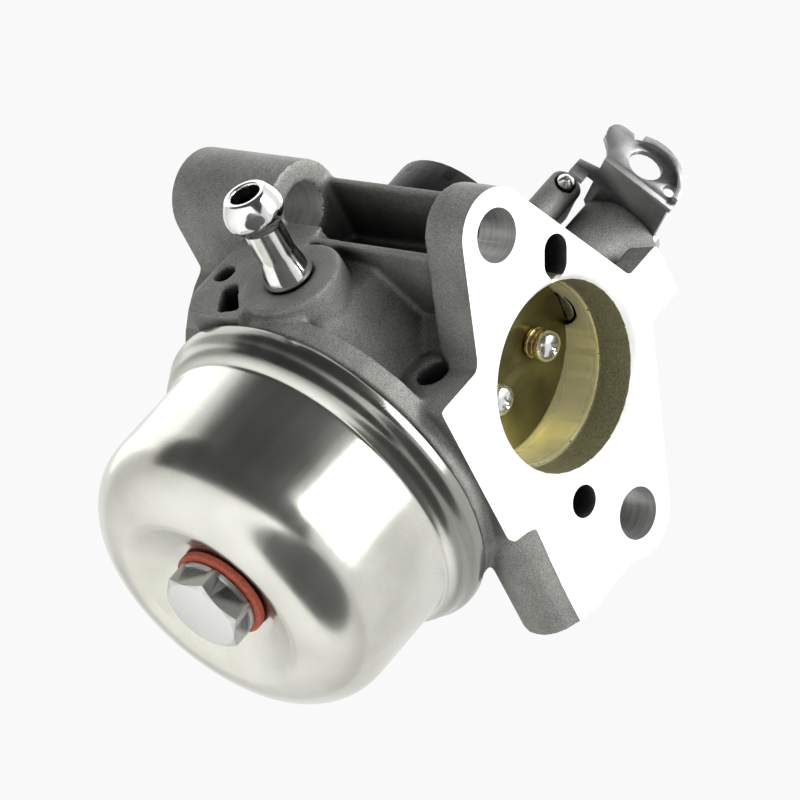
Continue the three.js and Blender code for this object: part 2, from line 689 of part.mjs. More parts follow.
function leverArm() {
  const tip = LEVER_ARM + LEVER_THICK;
  const top = leverZ + LEVER_THICK;
  const shape = new THREE.Shape();
  shape.moveTo(tip, LEVER_LEFT);
  shape.lineTo(tip, LEVER_RIGHT);
  shape.lineTo(HEEL.side, LEVER_RIGHT);
  shape.absarc(0, 0, HEEL.r, Math.atan2(LEVER_RIGHT, HEEL.side) + 0.1, radians(HEEL.turn), false);
  shape.lineTo(0.5, LEVER_LEFT);
  shape.lineTo(EAR.from, LEVER_LEFT);
  shape.lineTo(EAR.from, EAR.across);
  shape.lineTo(EAR.from + LEVER_THICK, EAR.across);
  shape.lineTo(EAR.from + EAR.web, LEVER_LEFT);
  const bottom = leverZ - EAR.drop;
  const far = EAR.across + EAR.width;
  const ear = block(EAR.from, EAR.from + LEVER_THICK, EAR.across, far, bottom, leverZ + 0.5);
  const hole = rodZ(0, 0, leverZ - PAST, top + PAST, THROTTLE_SHAFT_R - SHAFT_NECK + GAP);
  return cut(join(solid(slab(shape, leverZ, top)), ear), hole);
}

// The tab stands on the arm's end: a round head with a turned-out rim, and a small nose.
const TAB = { across: -1.9, rise: 0.6, foot: 3 };
const TAB_NOSE = { across: -8.7, rise: 5.2, r: 1.9 };
const LINK_HOLE = { across: -2.3, rise: 3.7, halfWide: 2.9, halfHigh: 2.35 };
const SPRING_HOLE = { across: 3.2, rise: 2.6, r: 1.1 };

function leverTab() {
  const from = LEVER_ARM;
  const to = LEVER_ARM + LEVER_THICK;
  const lip = to + LEVER_LIP;
  const foot = block(from, to, LEVER_LEFT, LEVER_RIGHT, 0, TAB.foot);
  const shoulder = outline([
    [LEVER_LEFT, 0],
    [TAB.across, 0],
    [TAB.across - 5, TAB_NOSE.rise + TAB_NOSE.r],
    [TAB_NOSE.across, TAB_NOSE.rise + TAB_NOSE.r],
    [TAB_NOSE.across - 1.5, TAB_NOSE.rise - 1.7],
    [LEVER_LEFT - 0.8, 2.2],
    [LEVER_LEFT, 1],
  ]);
  const head = cut(
    rodX(TAB.across, TAB.rise, from, to, LEVER_TAB_R, 32),
    block(0, 30, -30, LEVER_LEFT, -30, 30),
  );
  const rim = cut(
    rodX(TAB.across, TAB.rise, from + 0.2, lip, LEVER_TAB_R, 32),
    rodX(TAB.across, TAB.rise, from - PAST, lip + PAST, LEVER_TAB_R - 1, 32),
    block(0, 30, -30, 30, -30, TAB.rise + 0.6),
    block(0, 30, -30, TAB.across - 3.2, -30, 30),
  );
  const oval = rodX(0, 0, from - PAST, to + PAST, 1, ROUND)
    .scale([1, LINK_HOLE.halfWide, LINK_HOLE.halfHigh])
    .translate([0, LINK_HOLE.across, LINK_HOLE.rise]);
  const small = rodX(SPRING_HOLE.across, SPRING_HOLE.rise, from - PAST, to + PAST, SPRING_HOLE.r);
  const whole = join(
    foot,
    head,
    rodX(TAB_NOSE.across, TAB_NOSE.rise, from, to, TAB_NOSE.r),
    solid(alongX(slab(shoulder, from, to))),
    rim,
  );
  return cut(whole, oval, small, block(0, 30, -30, 30, -30, 0)).translate([0, 0, leverZ]);
}

const throttleLever = piece("throttle_lever", join(leverArm(), leverTab()), greySteel, throttle);
throttleLever.rotation.z = radians(LEVER_TURN);

// ---------------------------------------------------------------- adjusting screws
const SCREW_HEAD = 2.4;
const SCREW_SLOT = { width: 0.9, depth: 1 };
const SPRING_WIRE = 0.9;

// A screw along X with a blunt tip at +X and a slotted head.
function adjustingScrew(head, tip, r) {
  const headEnd = head - SCREW_HEAD;
  const half = SCREW_SLOT.width / 2;
  const whole = join(
    rodX(0, 0, head, tip, r),
    rodX(0, 0, tip, tip + 1, r, SMALL, r * 0.4),
    rodX(0, 0, headEnd, head, r * 2, ROUND),
  );
  const slot = block(headEnd - PAST, headEnd + SCREW_SLOT.depth, -half, half, -r * 3, r * 3);
  return cut(whole, slot);
}

// A sleeve of the spring's outer size round a screw, between its boss and its head.
function springSleeve(from, length, inner) {
  return alongX(spun(ringProfile(inner, inner + SPRING_WIRE, from - length, from), SMALL));
}

// A screw and its spring in one group. The boss face is at X = face, and the tip at X = tip.
function addAdjustingScrew(name, group, face, tip, spring, holeR, material) {
  const head = face - spring - 2 * GAP;
  piece(`${name}_screw`, adjustingScrew(head, tip, holeR - GAP), material, group);
  piece(`${name}_spring`, springSleeve(face - GAP, spring, holeR), brightSteel, group);
  carburetor.add(group);
}

const stop = new THREE.Group();
stop.rotation.z = radians(LEVER_TURN);
stop.position.x = throttleX - STOP.across * Math.sin(stop.rotation.z);
stop.position.y = STOP.across * Math.cos(stop.rotation.z);
stop.position.z = STOP.z;
addAdjustingScrew("idle_speed", stop, STOP.from, STOP.to, 5, STOP.holeR, brightSteel);

const mixture = new THREE.Group();
mixture.rotation.z = -Math.PI / 2;
mixture.position.set(MIXTURE.x, 0, MIXTURE.z);
addAdjustingScrew("mixture", mixture, -mixtureFace, -BORE_R - 1.2, 6, MIXTURE.holeR, brass);

// ---------------------------------------------------------------- choke lever
// A thick round hub, hollow underneath, and an arm with a hole for the cable.
const CHOKE_TIP_R = 4;
const CHOKE_ARM_THICK = 2.6;
const CHOKE_SKIRT = 1.8; // wall round the hollow under the hub
const CABLE_HOLE_R = 1.4;

function chokeLever() {
  const below = chokeHubBottom - PAST;
  const above = chokeHubTop + PAST;
  const edge = Math.acos((CHOKE_HUB_R - CHOKE_TIP_R) / CHOKE_ARM);
  const shape = new THREE.Shape();
  shape.absarc(0, 0, CHOKE_HUB_R, edge, 2 * Math.PI - edge, false);
  shape.absarc(CHOKE_ARM, 0, CHOKE_TIP_R, -edge, edge, false);
  const arm = solid(slab(shape, chokeHubTop - CHOKE_ARM_THICK, chokeHubTop, 14));
  const hub = rodZ(0, 0, chokeHubBottom, chokeHubTop, CHOKE_HUB_R, FINE);
  const well = cut(
    rodZ(0, 0, below, chokeHubBottom + CHOKE_ARM_THICK, CHOKE_HUB_R - CHOKE_SKIRT, 32),
    rodZ(0, 0, below - PAST, above, CHOKE_SHAFT_R + 2, ROUND),
  );
  const bore = rodZ(0, 0, below, above, CHOKE_SHAFT_R - SHAFT_NECK + GAP);
  const cable = rodZ(CHOKE_ARM, 0, below, above, CABLE_HOLE_R);
  return cut(join(arm, hub), well, bore, cable);
}
piece("choke_lever", chokeLever(), blackPlastic, choke).rotation.z = radians(CHOKE_ARM_TURN);

// ---------------------------------------------------------------- float bowl
const GASKET_THICK = 2;
const BOWL_HOLE_R = BOLT_R + 1;
const SEAT_FLAT_R = WASHER_R + 1.2; // flat middle of the bowl that the washer seals on

function floatBowl() {
  const rimBottom = BOWL_RIM_TOP - BOWL_RIM_DEPTH;
  const rimLowR = bowlRimR - BOWL_RIM_TAPER;
  const ledge = coverBottom - GASKET_THICK - 2 * GAP;
  const bendR = BOWL_R - BOWL_FILLET;
  const bendZ = bowlBottom + BOWL_FILLET;
  const profile = [
    [BOWL_HOLE_R, bowlSeat],
    [SEAT_FLAT_R, bowlSeat],
    [BOWL_DISH_R, bowlBottom + 0.4],
    ...arc(bendR, bendZ, BOWL_FILLET, -90, 0, 5),
    [BOWL_R, rimBottom - 0.8],
    [rimLowR - 0.6, rimBottom],
    [rimLowR, rimBottom + 0.8],
    [bowlRimR, BOWL_RIM_TOP - 2.2],
    [bowlRimR, BOWL_RIM_TOP - 0.6],
    [bowlRimR - 0.4, BOWL_RIM_TOP],
    [coverR + GAP, BOWL_RIM_TOP],
    [coverR + GAP, ledge],
    [bowlInnerR + 0.4, ledge],
    [bowlInnerR, rimBottom - 0.8],
    ...arc(bendR, bendZ, BOWL_FILLET - BOWL_WALL, 0, -90, 4),
    [BOWL_DISH_R, bowlBottom + 0.4 + BOWL_WALL],
    [SEAT_FLAT_R, bowlSeat + BOWL_WALL],
    [BOWL_HOLE_R, bowlSeat + BOWL_WALL],
    [BOWL_HOLE_R, bowlSeat],
  ];
  return spun(profile, FINE).translate(bowlX, 0, 0);
}
piece("float_bowl", floatBowl(), platedSteel);

function bowlGasket() {
  const top = coverBottom - GAP;
  const ring = ringProfile(bowlInnerR + 0.8, coverR - 0.2, top - GASKET_THICK, top);
  return spun(ring, FINE).translate(bowlX, 0, 0);
}
piece("bowl_gasket", bowlGasket(), rubber);

const washerTop = bowlSeat - GAP;
const washerBottom = washerTop - WASHER_THICK;

function boltWasher() {
  const ring = ringProfile(BOLT_R + GAP, WASHER_R, washerBottom, washerTop);
  return spun(ring, 32).translate(bowlX, 0, 0);
}
piece("bowl_bolt_washer", boltWasher(), redFibre);

function bowlBolt() {
  const top = washerBottom - GAP;
  const bottom = top - BOLT_HEAD;
  const flat = BOLT_HEAD_AF / 2;
  const hexagon = rodZ(bowlX, 0, bottom, top, flat / Math.cos(Math.PI / 6), 6);
  const crown = rodZ(bowlX, 0, bottom, top, flat, ROUND, flat + 3.4);
  const flange = rodZ(bowlX, 0, top - 0.9, top, WASHER_R - 0.9, ROUND);
  const thread = rodZ(bowlX, 0, top - PAST, bowlSeat + BOLT_LENGTH, BOLT_R);
  return join(hexagon.intersect(crown), flange, thread);
}
piece("bowl_bolt", bowlBolt(), greySteel);

// ---------------------------------------------------------------- fuel inlet
// A hose fitting: a stem in the casting, a bell-shaped foot, a neck and a round bead.
function fuelInlet() {
  const bead = INLET_LENGTH - 3.4;
  const profile = [
    [INLET_BORE_R, -INLET_STEM],
    [INLET_STEM_R, -INLET_STEM],
    [INLET_STEM_R, GAP],
    [INLET_BELL_R, GAP],
    [INLET_BELL_R - 0.2, 0.3 * INLET_BELL],
    [INLET_NECK_R + 0.3, 0.65 * INLET_BELL],
    [INLET_NECK_R, INLET_BELL],
    [INLET_NECK_R, bead - 2.8],
    [INLET_BEAD_R - 0.9, bead - 2],
    [INLET_BEAD_R - 0.2, bead - 1],
    [INLET_BEAD_R, bead],
    [INLET_BEAD_R - 0.2, bead + 1.1],
    [INLET_BEAD_R - 0.7, bead + 2.2],
    [INLET_TIP_R, INLET_LENGTH],
    [INLET_BORE_R, INLET_LENGTH],
    [INLET_BORE_R, -INLET_STEM],
  ];
  return spun(profile, ROUND).rotateX(Math.PI / 2).translate(bowlX, inletFace, INLET_Z);
}
piece("fuel_inlet", fuelInlet(), brightSteel);

// ---------------------------------------------------------------- float and needle valve
const ARM_HALF = PIN_POST.half - GAP; // the float arm swings between the two pin posts
const ARM_TOP = -0.4; // the arm's upper face, below the pin's axis
const ARM_THICK = 1.8;
const KNUCKLE_WALL = 1.3;

// The float at its fuel-level position, with the pin's axis as its origin.
function float() {
  const inner = POST_R + FLOAT_TO_POST;
  const outer = bowlInnerR - FLOAT_TO_WALL;
  const top = FLOAT_TOP - PIN_Z;
  const bottom = top - FLOAT_DEPTH;
  const armEnd = -pinY - inner - 2.5;
  const ring = solid(
    spun(
      [
        [inner, bottom],
        [outer - 3, bottom],
        [outer, bottom + 3],
        [outer, top - 1.5],
        [outer - 1.5, top],
        [inner, top],
        [inner, bottom],
      ],
      FINE,
    ),
  ).translate([0, -pinY, 0]);
  const posts = block(-10, 10, -20, PIN_POST.width / 2 + 2 * GAP, -6, 1 + top);
  const arm = block(-ARM_HALF, ARM_HALF, 0, armEnd + 3, ARM_TOP - ARM_THICK, ARM_TOP);
  const root = block(-ARM_HALF, ARM_HALF, 4.5, armEnd + 3, top - 3, ARM_TOP);
  const knuckle = rodX(0, 0, -ARM_HALF, ARM_HALF, PIN_R + KNUCKLE_WALL);
  const hinge = rodX(0, 0, -10, 10, PIN_R + GAP);
  return cut(join(cut(ring, posts), knuckle, arm, root), hinge);
}

const floatMesh = piece("float", float(), darkFoam);
floatMesh.position.set(bowlX, pinY, PIN_Z);
floatMesh.rotation.x = -radians(FLOAT_DROP);

function floatPin() {
  const half = PIN_POST.half + PIN_POST.thick;
  return rodX(pinY, PIN_Z, bowlX - half, bowlX + half, PIN_R);
}
piece("float_pin", floatPin(), brightSteel);

// The needle stands on the float arm, so it hangs open by what the arm has dropped.
const NEEDLE = { height: 4.9, cone: 1.4, tipR: 0.5 };
const needleDrop = (NEEDLE_TO_PIN - NEEDLE_R) * Math.sin(radians(FLOAT_DROP));

function inletNeedle() {
  const bottom = PIN_Z + ARM_TOP + GAP - needleDrop;
  const shoulder = bottom + NEEDLE.height;
  return join(
    rodZ(bowlX, needleY, bottom, shoulder, NEEDLE_R),
    rodZ(bowlX, needleY, shoulder, shoulder + NEEDLE.cone, NEEDLE_R, SMALL, NEEDLE.tipR),
  );
}
piece("inlet_needle", inletNeedle(), brass);

const SEAT = { bottom: -28.2, cone: -25.2, throat: -23.8, top: -21.6, holeR: 1.1 };

function needleSeat() {
  const guideR = NEEDLE_R + GAP;
  const profile = [
    [guideR, SEAT.bottom],
    [SEAT_R, SEAT.bottom],
    [SEAT_R, SEAT.top],
    [SEAT.holeR, SEAT.top],
    [SEAT.holeR, SEAT.throat],
    [guideR, SEAT.cone],
    [guideR, SEAT.bottom],
  ];
  return spun(profile, ROUND).translate(bowlX, needleY, 0);
}
piece("needle_seat", needleSeat(), brass);

// ---------------------------------------------------------------- jets
const JET_HOLE_R = 0.6;
const NOZZLE_BORE_R = 1.2;

function mainJet() {
  const top = jetTop - GAP;
  const ring = ringProfile(JET_HOLE_R, JET_R, top - JET_THICK, top);
  return spun(ring, SMALL).translate(bowlX, 0, 0);
}
piece("main_jet", mainJet(), brass);

function mainNozzle() {
  const bottom = jetTop + GAP;
  const tube = solid(spun(ringProfile(NOZZLE_BORE_R, NOZZLE_R, bottom, NOZZLE_TOP), SMALL));
  const reach = NOZZLE_R + PAST;
  const holes = [5, 10, 15].map((up) => rodX(0, bottom + up, -reach, reach, 0.5, 8));
  return cut(tube, ...holes).translate([bowlX, 0, 0]);
}
piece("main_nozzle", mainNozzle(), brass);

export default carburetor;
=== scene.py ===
"""Looks for a float-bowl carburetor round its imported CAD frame. Lengths are in metres."""

import json
import math

import bmesh
import bpy
from mathutils import Matrix, Vector


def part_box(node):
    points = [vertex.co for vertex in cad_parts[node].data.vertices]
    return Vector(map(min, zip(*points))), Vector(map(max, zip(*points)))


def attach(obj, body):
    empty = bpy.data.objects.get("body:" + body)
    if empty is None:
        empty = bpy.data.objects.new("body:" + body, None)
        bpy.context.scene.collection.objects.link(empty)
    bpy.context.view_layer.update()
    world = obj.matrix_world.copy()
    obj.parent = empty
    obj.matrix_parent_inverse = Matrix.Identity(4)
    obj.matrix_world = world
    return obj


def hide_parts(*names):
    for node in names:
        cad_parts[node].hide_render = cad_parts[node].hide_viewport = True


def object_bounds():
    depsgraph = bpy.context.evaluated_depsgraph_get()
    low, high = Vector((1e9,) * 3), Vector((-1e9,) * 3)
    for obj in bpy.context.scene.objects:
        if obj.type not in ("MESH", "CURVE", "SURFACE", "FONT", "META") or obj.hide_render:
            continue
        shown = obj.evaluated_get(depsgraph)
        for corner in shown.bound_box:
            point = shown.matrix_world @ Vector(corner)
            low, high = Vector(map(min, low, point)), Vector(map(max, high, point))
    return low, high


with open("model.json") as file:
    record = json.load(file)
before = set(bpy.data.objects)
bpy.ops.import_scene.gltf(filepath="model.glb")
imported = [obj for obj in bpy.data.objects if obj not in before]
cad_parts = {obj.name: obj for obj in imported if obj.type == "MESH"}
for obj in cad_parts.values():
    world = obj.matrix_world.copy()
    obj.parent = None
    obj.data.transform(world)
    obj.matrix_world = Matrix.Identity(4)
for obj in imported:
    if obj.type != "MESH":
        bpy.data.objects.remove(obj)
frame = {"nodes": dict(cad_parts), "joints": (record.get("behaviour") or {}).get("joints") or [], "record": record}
cad_low, cad_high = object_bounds()

MM = 0.001
FINE = 128  # sides of a large turned piece
ROUND = 72  # sides of a small turned piece

# ------------------------------------------------------------ places read from the frame
joints = {joint["name"]: joint for joint in frame["joints"]}
THROTTLE = Vector(joints["throttle"]["pos_m"])
CHOKE = Vector(joints["choke"]["pos_m"])
STOP_AXIS = Vector(joints["idle_speed_screw"]["axis"]).normalized()
STOP_POINT = Vector(joints["idle_speed_screw"]["pos_m"])
MIXTURE_POINT = Vector(joints["mixture_screw"]["pos_m"])
openings = {opening["name"]: opening for opening in frame["record"]["physics"]["openings"]}
stud_low, stud_high = openings["stud_channel_far_side"]["box_m"]
STUD_Y = (stud_low[1] + stud_high[1]) / 2
bowl_low, bowl_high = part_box("float_bowl")
BOWL_X = (bowl_low.x + bowl_high.x) / 2
AIR_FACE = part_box("body")[0].x


# ------------------------------------------------------------ mesh helpers
def add_object(name, mesh):
    """Puts a mesh into the scene as an object."""
    piece = bpy.data.objects.new(name, mesh)
    bpy.context.scene.collection.objects.link(piece)
    return piece


def mesh_object(name, bm, sharp=35):
    """An object from a bmesh, smooth except across edges sharper than so many degrees."""
    bmesh.ops.recalc_face_normals(bm, faces=bm.faces)
    mesh = bpy.data.meshes.new(name)
    bm.to_mesh(mesh)
    bm.free()
    smooth(mesh, sharp)
    return add_object(name, mesh)


def smooth(mesh, sharp):
    """Smooth shading, except across edges sharper than so many degrees."""
    mesh.polygons.foreach_set("use_smooth", [True] * len(mesh.polygons))
    mesh.set_sharp_from_angle(angle=math.radians(sharp))


def rounded(points, radius, steps=3):
    """A closed profile with each corner turned into a small arc."""
    out = []
    for i, corner in enumerate(points):
        here = Vector(corner)
        before = Vector(points[i - 1]) - here
        after = Vector(points[(i + 1) % len(points)]) - here
        reach = min(radius, 0.4 * before.length, 0.4 * after.length)
        start = here + before.normalized() * reach
        end = here + after.normalized() * reach
        for k in range(steps + 1):
            t = k / steps
            out.append((1 - t) ** 2 * start + 2 * t * (1 - t) * here + t * t * end)
    return out


def direction(azimuth, elevation):
    """A unit vector so many degrees round from +X and up from level."""
    a, e = math.radians(azimuth), math.radians(elevation)
    return Vector((math.cos(a) * math.cos(e), math.sin(a) * math.cos(e), math.sin(e)))


def basis(axis):
    """A rotation that takes +Z to the axis."""
    return Vector((0, 0, 1)).rotation_difference(Vector(axis)).to_matrix().to_4x4()


def lathe(name, profile, centre, axis=(0, 0, 1), sides=ROUND, sharp=35):
    """A closed (radius, height) profile spun round an axis through a centre."""
    bm = bmesh.new()
    rings = []
    for radius, height in profile:
        if radius < 1e-7:
            rings.append([bm.verts.new((0, 0, height))] * sides)
            continue
        ring = []
        for k in range(sides):
            turn = 2 * math.pi * k / sides
            ring.append(bm.verts.new((radius * math.cos(turn), radius * math.sin(turn), height)))
        rings.append(ring)
    for a, b in zip(rings, rings[1:] + rings[:1]):
        for k in range(sides):
            corners = [a[k], a[(k + 1) % sides], b[(k + 1) % sides], b[k]]
            corners = list(dict.fromkeys(corners))
            if len(corners) > 2:
                bm.faces.new(corners)
    bm.transform(Matrix.Translation(Vector(centre)) @ basis(axis))
    return mesh_object(name, bm, sharp)


def rod_tool(name, start, end, radius):
    """A plain rod between two points, to cut with."""
    start, end = Vector(start), Vector(end)
    length = (end - start).length
    profile = [(0, 0), (radius, 0), (radius, length), (0, length)]
    return lathe(name, profile, start, end - start)


def block_tool(name, low, high):
    """A plain block between two corners, to cut with."""
    bm = bmesh.new()
    bmesh.ops.create_cube(bm, size=1)
    size = Vector(high) - Vector(low)
    centre = (Vector(high) + Vector(low)) / 2
    bm.transform(Matrix.Translation(centre) @ Matrix.Diagonal(size.to_4d()))
    return mesh_object(name, bm)


def apply_modifiers(piece, sharp=35):
    """Bakes an object's modifiers into its mesh."""
    graph = bpy.context.evaluated_depsgraph_get()
    mesh = bpy.data.meshes.new_from_object(piece.evaluated_get(graph))
    piece.modifiers.clear()
    piece.data = mesh
    smooth(mesh, sharp)
    return piece


def boolean(piece, tools, operation="DIFFERENCE", sharp=35):
    """Cuts, joins or intersects a closed piece with closed tools, and removes the tools."""
    for tool in tools:
        cutter = piece.modifiers.new(tool.name, "BOOLEAN")
        cutter.operation = operation
        cutter.solver = "MANIFOLD"
        cutter.object = tool
    apply_modifiers(piece, sharp)
    for tool in tools:
        bpy.data.objects.remove(tool)
    return piece


def bevelled(piece, width):
    """Rounds a piece's edges by a width."""
    bevel = piece.modifiers.new("edges", "BEVEL")
    bevel.width = width
    bevel.segments = 2
    bevel.limit_method = "ANGLE"
    bevel.angle_limit = math.radians(30)
    bevel.use_clamp_overlap = True
    return apply_modifiers(piece)


def refined(node, width):
    """A copy of a CAD node's solid with merged flats and rounded edges, to stand for it."""
    bm = bmesh.new()
    bm.from_mesh(frame["nodes"][node].data)
    bmesh.ops.remove_doubles(bm, verts=bm.verts, dist=2e-6)
    bmesh.ops.dissolve_limit(
        bm, angle_limit=math.radians(1), verts=bm.verts, edges=bm.edges
    )
    return bevelled(mesh_object(f"{node}_skin", bm), width)


def dress(piece, body, node, slot, *materials):
    """Gives a piece its materials and its body, and hides the CAD node it stands for. The record slot is not used.
    """
    piece.data.materials.clear()
    for material in materials:
        piece.data.materials.append(material)
    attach(piece, body)
    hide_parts(node)


# ------------------------------------------------------------ material helpers
class Surface:
    """A Principled material and short ways to build its node tree."""

    def __init__(self, name, metallic):
        self.material = bpy.data.materials.new(name)
        self.material.use_nodes = True
        self.tree = self.material.node_tree
        self.shader = self.tree.nodes["Principled BSDF"]
        self.shader.inputs["Metallic"].default_value = metallic
        self.position = self.node("ShaderNodeTexCoord").outputs["Object"]

    def node(self, kind, **settings):
        made = self.tree.nodes.new(kind)
        for key, value in settings.items():
            setattr(made, key, value)
        return made

    def link(self, source, target):
        self.tree.links.new(source, target)

    def noise(self, scale, detail=3, stretch=(1, 1, 1), vector=None, roughness=0.5):
        """Noise with about so many grains to the metre, stretched along the axes."""
        mapping = self.node("ShaderNodeMapping")
        mapping.inputs["Scale"].default_value = stretch
        self.link(vector or self.position, mapping.inputs["Vector"])
        noise = self.node("ShaderNodeTexNoise")
        noise.inputs["Scale"].default_value = scale
        noise.inputs["Detail"].default_value = detail
        noise.inputs["Roughness"].default_value = roughness
        self.link(mapping.outputs["Vector"], noise.inputs["Vector"])
        return noise.outputs["Fac"]

    def math(self, operation, *values):
        """A sum on values, each a number or another node's result."""
        node = self.node("ShaderNodeMath", operation=operation)
        for value, target in zip(values, node.inputs):
            if isinstance(value, (int, float)):
                target.default_value = value
            else:
                self.link(value, target)
        return node.outputs["Value"]

    def parts(self, vector):
        """A vector's X, Y and Z."""
        split = self.node("ShaderNodeSeparateXYZ")
        self.link(vector, split.inputs["Vector"])
        return split.outputs

    def facing(self, axis):
        """How far the surface faces along an axis, from -1 to 1."""
        return self.parts(self.node("ShaderNodeTexCoord").outputs["Normal"])[axis]

    def place(self, axis):
        """How far along an axis the surface lies."""
        return self.parts(self.position)[axis]

    def ring_vector(self, centre, along):
        """(distance from an axis, place along it, 0): turning marks follow it."""
        shift = self.node("ShaderNodeVectorMath", operation="SUBTRACT")
        self.link(self.position, shift.inputs[0])
        shift.inputs[1].default_value = centre
        parts = self.parts(shift.outputs["Vector"])
        across = [axis for axis in "XYZ" if axis != along]
        squares = [self.math("POWER", parts[axis], 2) for axis in across]
        distance = self.math("SQRT", self.math("ADD", *squares))
        joined = self.node("ShaderNodeCombineXYZ")
        self.link(distance, joined.inputs["X"])
        self.link(parts[along], joined.inputs["Y"])
        return joined.outputs["Vector"]

    def ramp(self, value, stops):
        """Maps a value to colours or greys through (place, colour or grey) stops."""
        ramp = self.node("ShaderNodeValToRGB")
        while len(ramp.color_ramp.elements) < len(stops):
            ramp.color_ramp.elements.new(0.5)
        for element, (place, colour) in zip(ramp.color_ramp.elements, stops):
            element.position = place
            grey = isinstance(colour, (int, float))
            element.color = (colour, colour, colour, 1) if grey else (*colour, 1)
        self.link(value, ramp.inputs["Fac"])
        return ramp.outputs["Color"]

    def mix(self, factor, a, b, blend="MIX"):
        """Blends two colours; inputs 0, 6 and 7 are the node's factor and its colours."""
        node = self.node("ShaderNodeMix", data_type="RGBA", blend_type=blend)
        for value, index in ((factor, 0), (a, 6), (b, 7)):
            target = node.inputs[index]
            if isinstance(value, (int, float)):
                target.default_value = value
            elif isinstance(value, tuple):
                target.default_value = (*value, 1)
            else:
                self.link(value, target)
        return node.outputs[2]

    def colour(self, value):
        self.link(value, self.shader.inputs["Base Color"])

    def roughness(self, value):
        self.link(value, self.shader.inputs["Roughness"])

    def bump(self, height, strength, depth):
        """Adds relief on top of any relief the surface already has."""
        bump = self.node("ShaderNodeBump")
        bump.inputs["Strength"].default_value = strength
        bump.inputs["Distance"].default_value = depth
        self.link(height, bump.inputs["Height"])
        normal = self.shader.inputs["Normal"]
        if normal.is_linked:
            self.link(normal.links[0].from_socket, bump.inputs["Normal"])
        self.link(bump.outputs["Normal"], normal)

    def painted_recess_shade(self, reach, low, high):
        """Painted shade: dark where the surface lies deep in a recess."""
        hollow = self.node("ShaderNodeAmbientOcclusion", samples=6)
        hollow.inputs["Distance"].default_value = reach
        return self.ramp(hollow.outputs["AO"], [(low, 0.04), (high, 1.0)])

    def edges(self):
        """High on worn outer edges, low in corners."""
        return self.node("ShaderNodeNewGeometry").outputs["Pointiness"]


# ------------------------------------------------------------ materials
def cast_metal():
    s = Surface("cast_metal", 0.45)
    patches = s.noise(170, 5)
    grain = s.noise(5200, 3, roughness=0.7)
    sand = s.noise(2300, 4, roughness=0.7)
    tone = s.ramp(patches, [(0.3, (0.19, 0.19, 0.176)), (0.7, (0.27, 0.27, 0.254))])
    fleck = s.ramp(grain, [(0.36, 0.45), (0.64, 1.2)])
    worn = s.ramp(s.edges(), [(0.54, 0.0), (0.66, 1.0)])
    tone = s.mix(1.0, tone, fleck, "MULTIPLY")
    tone = s.mix(s.math("MULTIPLY", worn, 0.3), tone, (0.4, 0.4, 0.385))
    # The casting is darkened in deep recesses: painted shade.
    s.colour(s.mix(1.0, tone, s.painted_recess_shade(14 * MM, 0.3, 0.8), "MULTIPLY"))
    s.roughness(s.ramp(sand, [(0.3, 0.5), (0.7, 0.7)]))
    s.bump(s.noise(420, 3), 0.2, 0.0001)
    s.bump(sand, 0.5, 0.00006)
    s.bump(grain, 0.5, 0.00005)
    return s.material


def drilled_metal():
    s = Surface("drilled_metal", 0.6)
    rings = s.noise(1800, 3, stretch=(1, 0.1, 0.1))
    s.colour(s.ramp(rings, [(0.3, (0.3, 0.3, 0.295)), (0.7, (0.46, 0.46, 0.45))]))
    s.roughness(s.ramp(rings, [(0.3, 0.34), (0.7, 0.5)]))
    s.bump(rings, 0.15, 0.00003)
    return s.material


def milled_metal():
    s = Surface("milled_metal", 0.35)
    marks = s.noise(1300, 3, stretch=(1, 0.05, 1))
    pores = s.noise(1500, 2)
    tone = s.ramp(marks, [(0.3, (0.8, 0.8, 0.79)), (0.7, (0.9, 0.9, 0.89))])
    pits = s.ramp(pores, [(0.72, 1.0), (0.78, 0.75)])
    s.colour(s.mix(1.0, tone, pits, "MULTIPLY"))
    s.roughness(s.ramp(marks, [(0.3, 0.36), (0.7, 0.46)]))
    s.bump(marks, 0.06, 0.00002)
    return s.material


def bored_metal():
    s = Surface("bored_metal", 0.65)
    along = s.ring_vector((0, 0, 0), "X")
    rings = s.noise(5200, 2, vector=along, stretch=(0, 1, 1))
    bands = s.noise(900, 2, vector=along, stretch=(0, 1, 1))
    tint_patches = s.noise(90, 3)
    # The yellow tone of the bore wall is a painted reflection of the brass throttle plate.
    tone = s.ramp(tint_patches, [(0.3, (0.78, 0.71, 0.36)), (0.7, (0.94, 0.88, 0.58))])
    lines = s.ramp(rings, [(0.35, 0.82), (0.65, 1.05)])
    s.colour(s.mix(1.0, tone, lines, "MULTIPLY"))
    s.roughness(s.ramp(bands, [(0.3, 0.24), (0.7, 0.36)]))
    s.bump(rings, 0.08, 0.00001)
    return s.material


def counterbore_metal():
    s = Surface("counterbore_metal", 0.6)
    rings = s.noise(1500, 2, vector=s.ring_vector((0, 0, 0), "X"), stretch=(0, 1, 1))
    grain = s.noise(3200, 4, roughness=0.7)
    s.colour(s.ramp(grain, [(0.35, (0.13, 0.124, 0.07)), (0.65, (0.3, 0.285, 0.18))]))
    s.roughness(s.ramp(rings, [(0.3, 0.42), (0.7, 0.6)]))
    s.bump(rings, 0.2, 0.00003)
    s.bump(grain, 0.4, 0.00004)
    return s.material


